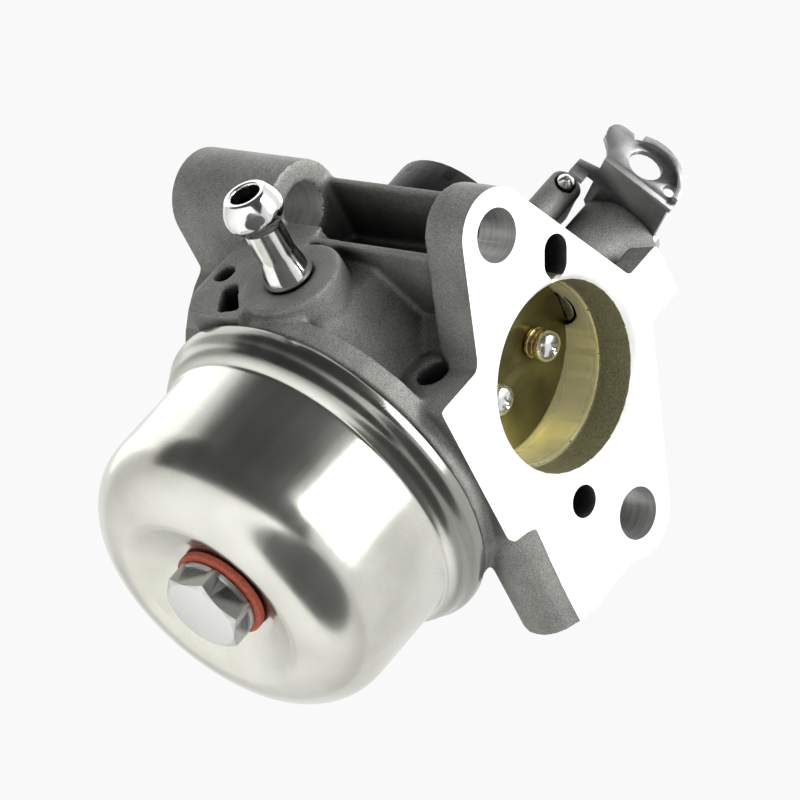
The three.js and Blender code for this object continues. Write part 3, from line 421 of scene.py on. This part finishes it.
def plated_steel():
    s = Surface("plated_steel", 1.0)
    turned = s.ring_vector((BOWL_X, 0, 0), "Z")
    rings = s.noise(1900, 3, vector=turned)
    draw = s.noise(420, 4, stretch=(1, 1, 0.06))
    bloom = s.noise(60, 5)
    specks = s.noise(3800, 2)
    tone = s.ramp(bloom, [(0.35, (0.56, 0.56, 0.5)), (0.65, (0.7, 0.7, 0.65))])
    tiny = s.ramp(specks, [(0.66, 1.0), (0.76, 0.55)])
    tone = s.mix(1.0, tone, tiny, "MULTIPLY")
    level = s.math("MULTIPLY_ADD", s.place("Z"), 1 / (20 * MM), 2.1)  # 0 to 1 over 20 mm
    rim = s.ramp(level, [(0.46, 1.0), (0.5, 0.5)])  # darker over the rolled rim, where the bowl meets the casting
    s.colour(s.mix(1.0, tone, rim, "MULTIPLY"))
    satin = s.ramp(draw, [(0.3, 0.16), (0.7, 0.26)])
    s.roughness(s.mix(0.5, satin, s.ramp(bloom, [(0.3, 0.17), (0.7, 0.28)])))
    s.bump(rings, 0.06, 0.00004)
    s.bump(draw, 0.05, 0.00005)
    return s.material


def sheet_steel():
    s = Surface("sheet_steel", 0.7)
    rolled = s.noise(700, 3, stretch=(0.15, 1, 1))
    patches = s.noise(260, 4)
    tone = s.ramp(patches, [(0.35, (0.13, 0.13, 0.13)), (0.7, (0.23, 0.23, 0.227))])
    worn = s.ramp(s.edges(), [(0.52, 0.0), (0.58, 1.0)])
    s.colour(s.mix(s.math("MULTIPLY", worn, 0.7), tone, (0.75, 0.75, 0.74)))
    s.roughness(s.ramp(rolled, [(0.3, 0.28), (0.7, 0.44)]))
    s.bump(rolled, 0.12, 0.00004)
    s.bump(s.noise(2200, 2), 0.1, 0.00003)
    return s.material


def bright_steel():
    s = Surface("bright_steel", 1.0)
    fine = s.noise(2200, 3)
    patches = s.noise(300, 3)
    s.colour(s.ramp(patches, [(0.3, (0.68, 0.68, 0.66)), (0.7, (0.82, 0.82, 0.8))]))
    s.roughness(s.ramp(fine, [(0.3, 0.14), (0.7, 0.28)]))
    s.bump(fine, 0.08, 0.00003)
    return s.material


def chrome():
    s = Surface("inlet_chrome", 1.0)
    haze = s.noise(500, 4)
    s.colour(s.ramp(haze, [(0.3, (0.7, 0.7, 0.69)), (0.7, (0.84, 0.84, 0.83))]))
    s.roughness(s.ramp(haze, [(0.3, 0.07), (0.7, 0.17)]))
    s.bump(s.noise(1200, 2), 0.04, 0.00003)
    return s.material


def washer_brass():
    s = Surface("washer_brass", 1.0)
    tarnish = s.noise(900, 4)
    s.colour(s.ramp(tarnish, [(0.3, (0.66, 0.5, 0.24)), (0.7, (0.85, 0.72, 0.44))]))
    s.roughness(s.ramp(tarnish, [(0.3, 0.18), (0.7, 0.34)]))
    s.bump(tarnish, 0.1, 0.00003)
    return s.material


def rolled_brass():
    s = Surface("rolled_brass", 1.0)
    rolled = s.noise(900, 3, stretch=(1, 1, 0.08))
    tarnish = s.noise(150, 4)
    s.colour(s.ramp(tarnish, [(0.3, (0.12, 0.11, 0.042)), (0.7, (0.19, 0.175, 0.075))]))
    s.roughness(s.ramp(rolled, [(0.3, 0.34), (0.7, 0.44)]))
    s.bump(rolled, 0.02, 0.00001)
    return s.material


def turned_brass():
    s = Surface("turned_brass", 1.0)
    fine = s.noise(1800, 3)
    s.colour(s.ramp(fine, [(0.3, (0.66, 0.5, 0.23)), (0.7, (0.8, 0.65, 0.35))]))
    s.roughness(s.ramp(fine, [(0.3, 0.18), (0.7, 0.3)]))
    s.bump(fine, 0.08, 0.00003)
    return s.material


def bolt_steel():
    s = Surface("bolt_steel", 0.95)
    patches = s.noise(420, 5, roughness=0.65)
    fine = s.noise(2400, 3)
    worn = s.ramp(s.edges(), [(0.5, 0.0), (0.56, 1.0)])
    tone = s.ramp(patches, [(0.3, (0.07, 0.07, 0.07)), (0.7, (0.16, 0.16, 0.157))])
    downward = s.math("MULTIPLY", s.facing("Z"), -1.0)
    crown = s.ramp(downward, [(0.8, 0.0), (0.95, 0.8)])
    tone = s.mix(crown, tone, (0.82, 0.82, 0.81))
    s.colour(s.mix(s.math("MULTIPLY", worn, 0.6), tone, (0.7, 0.7, 0.69)))
    s.roughness(s.ramp(patches, [(0.3, 0.28), (0.7, 0.46)]))
    s.bump(fine, 0.15, 0.00004)
    return s.material


def red_fibre():
    s = Surface("red_fibre", 0.0)
    fibres = s.noise(1500, 5, roughness=0.7)
    s.colour(s.ramp(fibres, [(0.3, (0.25, 0.04, 0.02)), (0.7, (0.45, 0.11, 0.07))]))
    s.roughness(s.ramp(fibres, [(0.3, 0.65), (0.7, 0.85)]))
    s.bump(fibres, 0.5, 0.00008)
    return s.material


def black_plastic():
    s = Surface("black_plastic", 0.0)
    fine = s.noise(2600, 3)
    flow = s.noise(140, 4)
    s.colour(s.ramp(flow, [(0.3, (0.006, 0.006, 0.006)), (0.7, (0.014, 0.014, 0.0135))]))
    s.shader.inputs["Specular IOR Level"].default_value = 0.3
    s.roughness(s.ramp(fine, [(0.3, 0.34), (0.7, 0.5)]))
    s.bump(fine, 0.12, 0.00004)
    return s.material


def black_rubber():
    s = Surface("black_rubber", 0.0)
    fine = s.noise(2000, 4)
    s.colour(s.ramp(fine, [(0.3, (0.014, 0.014, 0.014)), (0.7, (0.032, 0.032, 0.031))]))
    s.roughness(s.ramp(fine, [(0.3, 0.7), (0.7, 0.9)]))
    s.bump(fine, 0.3, 0.00005)
    return s.material


def cell_foam():
    s = Surface("cell_foam", 0.0)
    cells = s.noise(1500, 5, roughness=0.75)
    s.colour(s.ramp(cells, [(0.3, (0.03, 0.026, 0.022)), (0.7, (0.085, 0.075, 0.062))]))
    s.roughness(s.ramp(cells, [(0.3, 0.78), (0.7, 0.94)]))
    s.bump(cells, 0.7, 0.00015)
    return s.material


CAST = cast_metal()
DRILLED = drilled_metal()
MILLED = milled_metal()
BORED = bored_metal()
COUNTERBORE = counterbore_metal()
PLATED = plated_steel()
SHEET = sheet_steel()
BRIGHT = bright_steel()
CHROME = chrome()
WASHER_BRASS = washer_brass()
ROLLED_BRASS = rolled_brass()
TURNED_BRASS = turned_brass()
BOLT = bolt_steel()
FIBRE = red_fibre()
PLASTIC = black_plastic()
RUBBER = black_rubber()
FOAM = cell_foam()

# ------------------------------------------------------------ the casting
STUD_HOLE_R = 4.25 * MM
MOUTH_R = 15.0 * MM
MOUTH_DEPTH = 7.1 * MM
MOUTH_CHAMFER = 0.9 * MM
BORE_R = 14.5 * MM
BORE_DEPTH = 22 * MM  # from the mouth's step to the rough part of the bore
VENTURI_R = 11.5 * MM
THROAT = 8 * MM
INTAKE_R = 15.6 * MM
PASSAGE_DEPTH = 6 * MM  # of both passages beside the mouth
ROUND_PASSAGE = Vector((0, 18.5, -8.2)) * MM
ROUND_PASSAGE_R = 2.64 * MM
OVAL_PASSAGE = Vector((0, -17.45, 8.15)) * MM
OVAL_PASSAGE_R = 2.5 * MM
OVAL_SLANT = 56  # degrees that the oval leans from upright
STOCK = 0.9 * MM  # metal left on a cast face for its milling
VOXEL = 0.42 * MM  # size of the cells that round the casting's edges
PAST = 2 * MM  # how far a cutter reaches past what it cuts
NEAR = 0.01 * MM  # closer than this counts as lying in a face


def bore_tool():
    """The cutter for the whole bore, from the air face through the venturi to the mouth."""
    venturi = BOWL_X - 0.5 * MM
    profile = [
        (0, AIR_FACE - PAST),
        (INTAKE_R, AIR_FACE - PAST),
        (INTAKE_R, venturi - 1.5 * THROAT),
        (INTAKE_R - 1.1 * MM, venturi - 0.7 * THROAT),
        (VENTURI_R, venturi - MM),
        (VENTURI_R, venturi + 1.5 * MM),
        (BORE_R, venturi + THROAT),
        (BORE_R, -MOUTH_DEPTH),
        (MOUTH_R, -MOUTH_DEPTH),
        (MOUTH_R, -MOUTH_CHAMFER),
        (MOUTH_R + MOUTH_CHAMFER, 0),
        (MOUTH_R + MOUTH_CHAMFER + PAST, PAST),
        (0, PAST),
    ]
    return lathe("bore_tool", profile, (0, 0, 0), (1, 0, 0), FINE)


def oval_tool():
    """The oval passage beside the mouth, a slot between two centres."""
    slant = math.radians(OVAL_SLANT)
    half = Vector((0, -math.sin(slant), math.cos(slant))) * MM
    side = ROUND // 2
    bm = bmesh.new()
    rings = []
    for x in (-PASSAGE_DEPTH, PAST):
        ring = []
        for end, first in ((half, OVAL_SLANT), (-half, OVAL_SLANT + 180)):
            for k in range(side):
                turn = math.radians(first + 180 * k / (side - 1))
                y, z = OVAL_PASSAGE_R * math.cos(turn), OVAL_PASSAGE_R * math.sin(turn)
                ring.append(bm.verts.new(OVAL_PASSAGE + end + Vector((x, y, z))))
        rings.append(ring)
    bm.faces.new(rings[0])
    bm.faces.new(rings[1])
    for k in range(2 * side):
        after = (k + 1) % (2 * side)
        bm.faces.new([rings[0][k], rings[0][after], rings[1][after], rings[1][k]])
    return mesh_object("oval_tool", bm)


def casting_tools():
    """The cutters for every machined face and hole, in the order they cut."""
    wide = 60 * MM  # more than the casting's height and width
    face_tool = block_tool("face_tool", (0, -wide, -wide), (wide, wide, wide))
    rear = (AIR_FACE - wide, -wide, -wide)
    rear_tool = block_tool("rear_tool", rear, (AIR_FACE, wide, wide))
    tools = [face_tool, rear_tool, bore_tool(), oval_tool()]
    for y in (-STUD_Y, STUD_Y):
        tools.append(rod_tool("stud_tool", (AIR_FACE - PAST, y, 0), (PAST, y, 0), STUD_HOLE_R))
    inner = ROUND_PASSAGE - Vector((PASSAGE_DEPTH, 0, 0))
    outer = ROUND_PASSAGE + Vector((PAST, 0, 0))
    tools.append(rod_tool("passage_tool", inner, outer, ROUND_PASSAGE_R))
    return tools


def grown_copy(node):
    """A copy of the casting with extra stock on the two faces that are milled afterwards."""
    bm = bmesh.new()
    bm.from_mesh(frame["nodes"][node].data)
    for vertex in bm.verts:
        if vertex.co.x > -NEAR:
            vertex.co.x += STOCK
        elif vertex.co.x < AIR_FACE + NEAR:
            vertex.co.x -= STOCK
    return mesh_object("casting", bm)


def casting_material(centre):
    """Which material a face of the casting takes, from the place of its middle."""
    radius = math.hypot(centre.y, centre.z)
    in_mouth = radius < MOUTH_R + MOUTH_CHAMFER + 0.3 * MM
    in_bore = radius < BORE_R + 0.1 * MM
    in_stud_hole = math.hypot(abs(centre.y) - STUD_Y, centre.z) < STUD_HOLE_R + 0.05 * MM
    if abs(centre.x) < NEAR or abs(centre.x - AIR_FACE) < NEAR:
        return MILLED
    if in_mouth and centre.x > -MOUTH_CHAMFER:
        return MILLED
    if in_bore and centre.x > -MOUTH_DEPTH - BORE_DEPTH:
        return BORED
    if in_mouth and centre.x > -MOUTH_DEPTH - 0.1 * MM:
        return COUNTERBORE
    if in_stud_hole:
        return DRILLED
    return CAST


def make_casting():
    """The cast body: rounded all over first, then milled, bored and drilled."""
    materials = [CAST, MILLED, BORED, COUNTERBORE, DRILLED]
    piece = grown_copy("body")
    remesh = piece.modifiers.new("cells", "REMESH")
    remesh.mode = "VOXEL"
    remesh.voxel_size = VOXEL
    ease = piece.modifiers.new("ease", "SMOOTH")
    ease.factor = 0.5
    ease.iterations = 5  # takes the cells' steps out of the slopes
    apply_modifiers(piece)
    boolean(piece, casting_tools())
    dress(piece, "casting", "body", "cast_body", *materials)
    for face in piece.data.polygons:
        face.material_index = materials.index(casting_material(face.center))
        if abs(face.center.x) < NEAR:
            face.use_smooth = False


make_casting()

# ------------------------------------------------------------ float bowl, washer and bolt
BOWL_R = 26.4 * MM
BOWL_WALL = 1.0 * MM
BOWL_FILLET = 10 * MM
BOWL_DISH = 3.8 * MM
RIM_R = bowl_high.x - BOWL_X
RIM_DEPTH = 5.4 * MM


def fillet_points(radius, first, last, steps):
    """An arc about the bend at the bottom of the bowl."""
    centre = Vector((BOWL_R - BOWL_FILLET, bowl_low.z + BOWL_FILLET))
    out = []
    for k in range(steps + 1):
        turn = math.radians(first + (last - first) * k / steps)
        out.append(centre + radius * Vector((math.cos(turn), math.sin(turn))))
    return out


def make_bowl():
    """A deep-drawn shell with a dished middle, a wide bend and a rolled rim."""
    top = bowl_high.z
    seat = bowl_low.z + BOWL_DISH
    rim_low = top - RIM_DEPTH
    inner = BOWL_R - BOWL_WALL
    outside = [
        (4.1 * MM, seat),
        (9.1 * MM, seat),
        (15 * MM, bowl_low.z + 0.4 * MM),
        *fillet_points(BOWL_FILLET, -90, 0, 16),
        (BOWL_R, rim_low - 0.8 * MM),
        (RIM_R - 1.9 * MM, rim_low),
        (RIM_R - 1.3 * MM, rim_low + 0.8 * MM),
        (RIM_R - 0.9 * MM, rim_low + 1.9 * MM),
        (RIM_R, top - 2.2 * MM),
        (RIM_R, top - 0.6 * MM),
        (RIM_R - 0.4 * MM, top),
    ]
    inside = [
        (RIM_R - 0.7 * MM, top),
        (RIM_R - 0.7 * MM, top - 2.3 * MM),
        (inner + 0.4 * MM, top - 2.3 * MM),
        (inner, rim_low - 0.8 * MM),
        *fillet_points(BOWL_FILLET - BOWL_WALL, 0, -90, 16),
        (15 * MM, bowl_low.z + 0.4 * MM + BOWL_WALL),
        (9.1 * MM, seat + BOWL_WALL),
        (4.1 * MM, seat + BOWL_WALL),
    ]
    profile = rounded(outside + inside, 0.7 * MM)
    piece = lathe("float_bowl_shell", profile, (BOWL_X, 0, 0), sides=192, sharp=50)
    dress(piece, "casting", "float_bowl", "plated_steel", PLATED)


def make_washer():
    """The fibre ring under the bowl bolt's head."""
    low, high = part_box("bowl_bolt_washer")
    radius = (high.x - low.x) / 2
    hole = 3.5 * MM
    profile = [(hole, low.z), (radius, low.z), (radius, high.z), (hole, high.z)]
    piece = lathe("fibre_washer", rounded(profile, 0.25 * MM), (BOWL_X, 0, 0), sides=96)
    dress(piece, "casting", "bowl_bolt_washer", "red_fibre", FIBRE)


BOLT_HEAD = 4.4 * MM
BOLT_FLAT = 6.35 * MM  # from the middle to a flat
BOLT_WASHER_R = 7.0 * MM
BOLT_SHANK_R = 3.1 * MM


def bolt_hexagon(bottom):
    """A hexagonal head whose corners are turned off."""
    corner = BOLT_FLAT / math.cos(math.pi / 6)
    top = bottom + BOLT_HEAD
    prism = [(0, bottom), (corner, bottom), (corner, top), (0, top)]
    hexagon = lathe("bowl_bolt_body", prism, (BOWL_X, 0, 0), sides=6)
    bevelled(hexagon, 0.22 * MM)
    wide = BOLT_FLAT + 3.4 * MM
    crown = [
        (0, bottom),
        (BOLT_FLAT - 0.5 * MM, bottom),
        (BOLT_FLAT - 0.1 * MM, bottom + 0.12 * MM),
        (wide, bottom + 2.1 * MM),
        (wide, top + PAST),
        (0, top + PAST),
    ]
    return boolean(hexagon, [lathe("crown_tool", crown, (BOWL_X, 0, 0))], "INTERSECT", 28)


def bolt_shank(bottom, end):
    """The head's round washer face, and the shank with its rounded end."""
    top = bottom + BOLT_HEAD
    face = top - 0.9 * MM
    profile = [
        (0, face),
        (BOLT_WASHER_R - 0.2 * MM, face),
        (BOLT_WASHER_R, face + 0.3 * MM),
        (BOLT_WASHER_R, top - 0.1 * MM),
        (BOLT_WASHER_R - 0.3 * MM, top),
        (BOLT_SHANK_R, top),
        (BOLT_SHANK_R, end - 0.6 * MM),
        (BOLT_SHANK_R - 0.6 * MM, end),
        (0, end),
    ]
    return lathe("shank_tool", profile, (BOWL_X, 0, 0))


def make_bolt():
    """The bolt that holds the bowl up against the casting."""
    low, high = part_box("bowl_bolt")
    piece = boolean(bolt_hexagon(low.z), [bolt_shank(low.z, high.z)], "UNION", 28)
    dress(piece, "casting", "bowl_bolt", "dark_steel", BOLT)


make_bowl()
make_washer()
make_bolt()


# ------------------------------------------------------------ fuel inlet
def make_inlet():
    """A turned fitting: a stem in its boss, a bell, a neck and a bead that holds a hose."""
    low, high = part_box("fuel_inlet")
    centre = Vector(((low.x + high.x) / 2, 0, (low.z + high.z) / 2))
    face = -high.y + 6 * MM  # where the fitting leaves its boss
    tip = -low.y
    bead = tip - 3.4 * MM
    bore = 2.4 * MM
    stem = 3.25 * MM
    neck = 3.1 * MM
    wide = 4.8 * MM
    bell = 5 * MM
    profile = [
        (bore, -high.y),
        (stem, -high.y),
        (stem, face + 0.3 * MM),
        (4 * MM, face + 0.3 * MM),
        (3.8 * MM, face + 0.3 * bell),
        (neck + 0.3 * MM, face + 0.65 * bell),
        (neck, face + bell),
        (neck, bead - 2.8 * MM),
        (wide - 0.9 * MM, bead - 2 * MM),
        (wide - 0.2 * MM, bead - MM),
        (wide, bead),
        (wide - 0.2 * MM, bead + 1.1 * MM),
        (wide - 0.7 * MM, bead + 2.2 * MM),
        (3.4 * MM, tip),
        (bore, tip),
    ]
    profile = rounded(profile, 0.5 * MM, 4)
    piece = lathe("fuel_inlet_tube", profile, centre, (0, -1, 0), 96, 50)
    dress(piece, "casting", "fuel_inlet", "inlet_chrome", CHROME)


make_inlet()


# ------------------------------------------------------------ butterfly screws
HEAD_R = 2.65 * MM
HEAD_HEIGHT = 1.7 * MM
SCREW_R = 1.5 * MM
PLATE_FACE = 1.25 * MM  # from the hinge to the face that the washers lie on
WASHERS = 2.4 * MM  # height of the stack under a head
UP = Vector((0, 0, 1))
VALVES = {  # hinge, the shaft's radius, and the degrees from +X that the screws point
    "throttle": (THROTTLE, 3.2 * MM, 11),
    "choke": (CHOKE, 2.6 * MM, 90),
}


def cross_tools(node, foot, axis):
    """The two tapered slots of a cross-recessed head, sized in millimetres."""
    floor, mouth = (0.9, 0.5, 0.16), (1.8, 1.35, 0.3)  # height, half length, half width
    side = axis.cross(UP)
    tools = []
    for across, other in ((side, UP), (UP, side)):
        bm = bmesh.new()
        for height, half, width in (floor, mouth):
            middle = foot + axis * (PLATE_FACE + WASHERS + height * MM)
            for a, b in ((1, 1), (1, -1), (-1, -1), (-1, 1)):
                bm.verts.new(middle + across * (a * half * MM) + other * (b * width * MM))
        bmesh.ops.convex_hull(bm, input=bm.verts)
        tools.append(mesh_object(f"{node}_cross", bm))
    return tools


def make_screw(node, body):
    """A pan-head screw through a butterfly plate and its shaft."""
    hinge, shaft, pointing = VALVES[body]
    low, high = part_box(node)
    foot = Vector((hinge.x, 0, (low.z + high.z) / 2))
    axis = direction(pointing, 0)
    seat = PLATE_FACE + WASHERS
    top = seat + HEAD_HEIGHT
    pan = [
        (0, 0.6 * MM - shaft),
        (SCREW_R, 0.6 * MM - shaft),
        (SCREW_R, seat),
        (HEAD_R - 0.1 * MM, seat),
        (HEAD_R, seat + 0.25 * MM),
        (HEAD_R - 0.12 * MM, seat + 0.8 * MM),
        (HEAD_R - 0.5 * MM, seat + 1.3 * MM),
        (HEAD_R - 1.1 * MM, top - 0.1 * MM),
        (0, top),
    ]
    head = lathe(f"{node}_head", pan, foot, axis, 64)
    boolean(head, cross_tools(node, foot, axis), sharp=30)
    dress(head, body, node, "bright_steel", BRIGHT)
    add_washers(node, foot, axis, body)


def add_washers(node, foot, axis, body):
    """A flat washer and two lock washers under the head, sized in millimetres."""
    hole = 1.6
    for name, radius, start, end in (
        ("flat", 2.5, 0.0, 0.65),
        ("lower", 2.35, 0.75, 1.5),
        ("upper", 2.45, 1.6, 2.3),
    ):
        ring = [(hole, start), (radius, start), (radius, end), (hole, end)]
        profile = rounded([(r * MM, PLATE_FACE + h * MM) for r, h in ring], 0.16 * MM)
        washer = lathe(f"{node}_{name}_washer", profile, foot, axis, 56)
        washer.data.materials.append(WASHER_BRASS)
        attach(washer, body)


for valve in VALVES:
    for level in ("upper", "lower"):
        make_screw(f"{valve}_screw_{level}", valve)


# ------------------------------------------------------------ springs
SPRING_WIRE = 0.9 * MM


def sleeve_ends(node, centre, axis, radius):
    """Where a round sleeve starts and ends along its level axis, from its box."""
    low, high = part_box(node)
    places = []
    for x in (low.x, high.x):
        for y in (low.y, high.y):
            places.append((Vector((x, y, centre.z)) - centre).dot(axis))
    spare = 2 * radius * abs(axis.x * axis.y)  # a slanting sleeve's box is longer than the sleeve
    return min(places) + spare, max(places) - spare


def helix(name, centre, axis, radius, start, end, turns):
    """A wire wound round an axis, as a mesh."""
    steps = 40 * turns
    curve = bpy.data.curves.new(name, "CURVE")
    curve.dimensions = "3D"
    curve.bevel_depth = SPRING_WIRE * 0.47
    curve.bevel_resolution = 5
    curve.use_fill_caps = True
    line = curve.splines.new("POLY")
    line.points.add(steps)
    turn_to = basis(axis)
    for k, point in enumerate(line.points):
        turn = 2 * math.pi * turns * k / steps
        along = start + (end - start) * k / steps
        local = Vector((radius * math.cos(turn), radius * math.sin(turn), along))
        point.co = (*(centre + turn_to @ local), 1)
    wound = bpy.data.objects.new(name, curve)
    bpy.context.scene.collection.objects.link(wound)
    graph = bpy.context.evaluated_depsgraph_get()
    mesh = bpy.data.meshes.new_from_object(wound.evaluated_get(graph))
    bpy.data.objects.remove(wound)
    smooth(mesh, 60)
    return mesh


def make_spring(node, centre, axis, inner, turns):
    """A wire helix over the length that the CAD sleeve takes."""
    start, end = sleeve_ends(node, centre, axis, inner + SPRING_WIRE)
    start, end = start + SPRING_WIRE / 2, end - SPRING_WIRE / 2
    spine = inner + SPRING_WIRE / 2
    mesh = helix(f"{node}_wire", centre, axis, spine, start, end, turns)
    piece = add_object(f"{node}_wire", mesh)
    dress(piece, "casting", node, "spring_steel", BRIGHT)


make_spring("mixture_spring", MIXTURE_POINT, Vector((0, 1, 0)), 1.9 * MM, 5)
make_spring("idle_speed_spring", STOP_POINT, STOP_AXIS, 1.7 * MM, 4)

# ------------------------------------------------------------ pieces that keep the CAD shape
SKINS = [  # node, body, record slot, material, edge radius
    ("throttle_lever", "throttle", "lever_steel", SHEET, 0.35),
    ("throttle_plate", "throttle", "brass_plate", ROLLED_BRASS, 0.12),
    ("throttle_shaft", "throttle", "bright_steel", BRIGHT, 0.12),
    ("choke_plate", "choke", "brass_plate", ROLLED_BRASS, 0.12),
    ("choke_shaft", "choke", "bright_steel", BRIGHT, 0.12),
    ("choke_lever", "choke", "black_plastic", PLASTIC, 0.35),
    ("idle_speed_screw", "idle_speed_screw", "bright_steel", BRIGHT, 0.12),
    ("mixture_screw", "mixture_screw", "turned_brass", TURNED_BRASS, 0.12),
    ("bowl_gasket", "casting", "black_rubber", RUBBER, 0.2),
    ("float", "float", "float_foam", FOAM, 0.3),
    ("float_pin", "casting", "bright_steel", BRIGHT, 0.1),
    ("inlet_needle", "inlet_needle", "turned_brass", TURNED_BRASS, 0.1),
    ("needle_seat", "casting", "turned_brass", TURNED_BRASS, 0.1),
    ("main_jet", "casting", "turned_brass", TURNED_BRASS, 0.1),
    ("main_nozzle", "casting", "turned_brass", TURNED_BRASS, 0.08),
]
for node, body, slot, material, edge in SKINS:
    dress(refined(node, edge * MM), body, node, slot, material)

# The throttle plate is grown about its shaft until it nearly fills the bore.
PLATE_GROWTH = 14.42 / 14.2
plate_mesh = bpy.data.objects["throttle_plate_skin"].data
plate_mesh.transform(
    Matrix.Translation(THROTTLE)
    @ Matrix.Scale(PLATE_GROWTH, 4)
    @ Matrix.Translation(-THROTTLE)
)

# ------------------------------------------------------------ camera, from below the engine side
CAMERA_PLACE = Vector((0.49625, -0.40711, -0.37127))
CAMERA_RIGHT = Vector((0.70951, 0.39791, 0.58161))
CAMERA_UP = Vector((-0.12344, -0.74239, 0.65850))
CAMERA_LENS = 218  # millimetres, on a film as wide as below
CAMERA_FILM = 36


def make_camera():
    """Where the photograph was taken from, with a long lens."""
    data = bpy.data.cameras.new("camera")
    data.lens = CAMERA_LENS
    data.sensor_width = CAMERA_FILM
    camera = bpy.data.objects.new("camera", data)
    bpy.context.scene.collection.objects.link(camera)
    back = CAMERA_RIGHT.cross(CAMERA_UP)
    turn = Matrix((CAMERA_RIGHT, CAMERA_UP, back)).transposed().to_4x4()
    camera.matrix_world = Matrix.Translation(CAMERA_PLACE) @ turn
    bpy.context.scene.camera = camera


make_camera()


# ------------------------------------------------------------ studio
MIDDLE = (cad_low + cad_high) / 2


def soft_light(name, azimuth, elevation, distance, size, power):
    """A soft box that faces the object's middle."""
    data = bpy.data.lights.new(name, "AREA")
    data.shape = "RECTANGLE"
    data.size, data.size_y = size
    data.energy = power
    lamp = bpy.data.objects.new(name, data)
    bpy.context.scene.collection.objects.link(lamp)
    toward = direction(azimuth, elevation)
    lamp.location = MIDDLE + toward * distance
    lamp.rotation_euler = toward.to_track_quat("Z", "Y").to_euler()
    lamp.visible_camera = False
    return lamp


def make_room():
    """An even pale world."""
    world = bpy.data.worlds.new("studio")
    world.use_nodes = True
    bpy.context.scene.world = world
    background = world.node_tree.nodes["Background"]
    background.inputs["Color"].default_value = (0.95, 0.95, 0.95, 1)


def stage_piece(piece, colour):
    """Gives the floor or a card, which are no part of the object, a matt painted surface."""
    s = Surface(piece.name, 0.0)
    s.shader.inputs["Base Color"].default_value = (*colour, 1)
    s.roughness(s.ramp(s.noise(8, 3), [(0.3, 0.85), (0.7, 0.95)]))
    piece.data.materials.append(s.material)


def make_card(name, azimuth, elevation, distance, spread, grey):
    """A dark disc for the metal to mirror, so many degrees from its middle to its rim."""
    radius = distance * math.tan(math.radians(spread))
    thick = 0.01
    toward = direction(azimuth, elevation)
    profile = [(0, 0), (radius, 0), (radius, thick), (0, thick)]
    card = lathe(name, profile, MIDDLE + toward * distance, toward)
    stage_piece(card, (grey, grey, grey))
    card.visible_camera = False
    return card


def make_floor():
    """A wide pale floor, well below the object."""
    half = 9.0
    height = cad_low.z - 0.62
    bm = bmesh.new()
    corners = [(-half, -half), (half, -half), (half, half), (-half, half)]
    bm.faces.new([bm.verts.new((x, y, height)) for x, y in corners])
    stage_piece(mesh_object("floor", bm), (0.8, 0.8, 0.79))


bpy.context.scene.view_settings.view_transform = "Standard"
make_room()
make_floor()
make_card("side_card", -80, -15, 1.1, 60, 0.03)
under = make_card("under_card", 12, -50, 0.5, 36, 0.07)
under.visible_diffuse = False
under.visible_shadow = False
soft_light("key", -12, 32, 1.3, (0.95, 0.8), 24)
soft_light("side", -165, 25, 1.3, (1.1, 1.1), 3)
soft_light("top", 150, 70, 1.2, (0.8, 0.8), 8)
soft_light("fill", -25, -15, 1.3, (0.8, 0.8), 10).visible_glossy = False
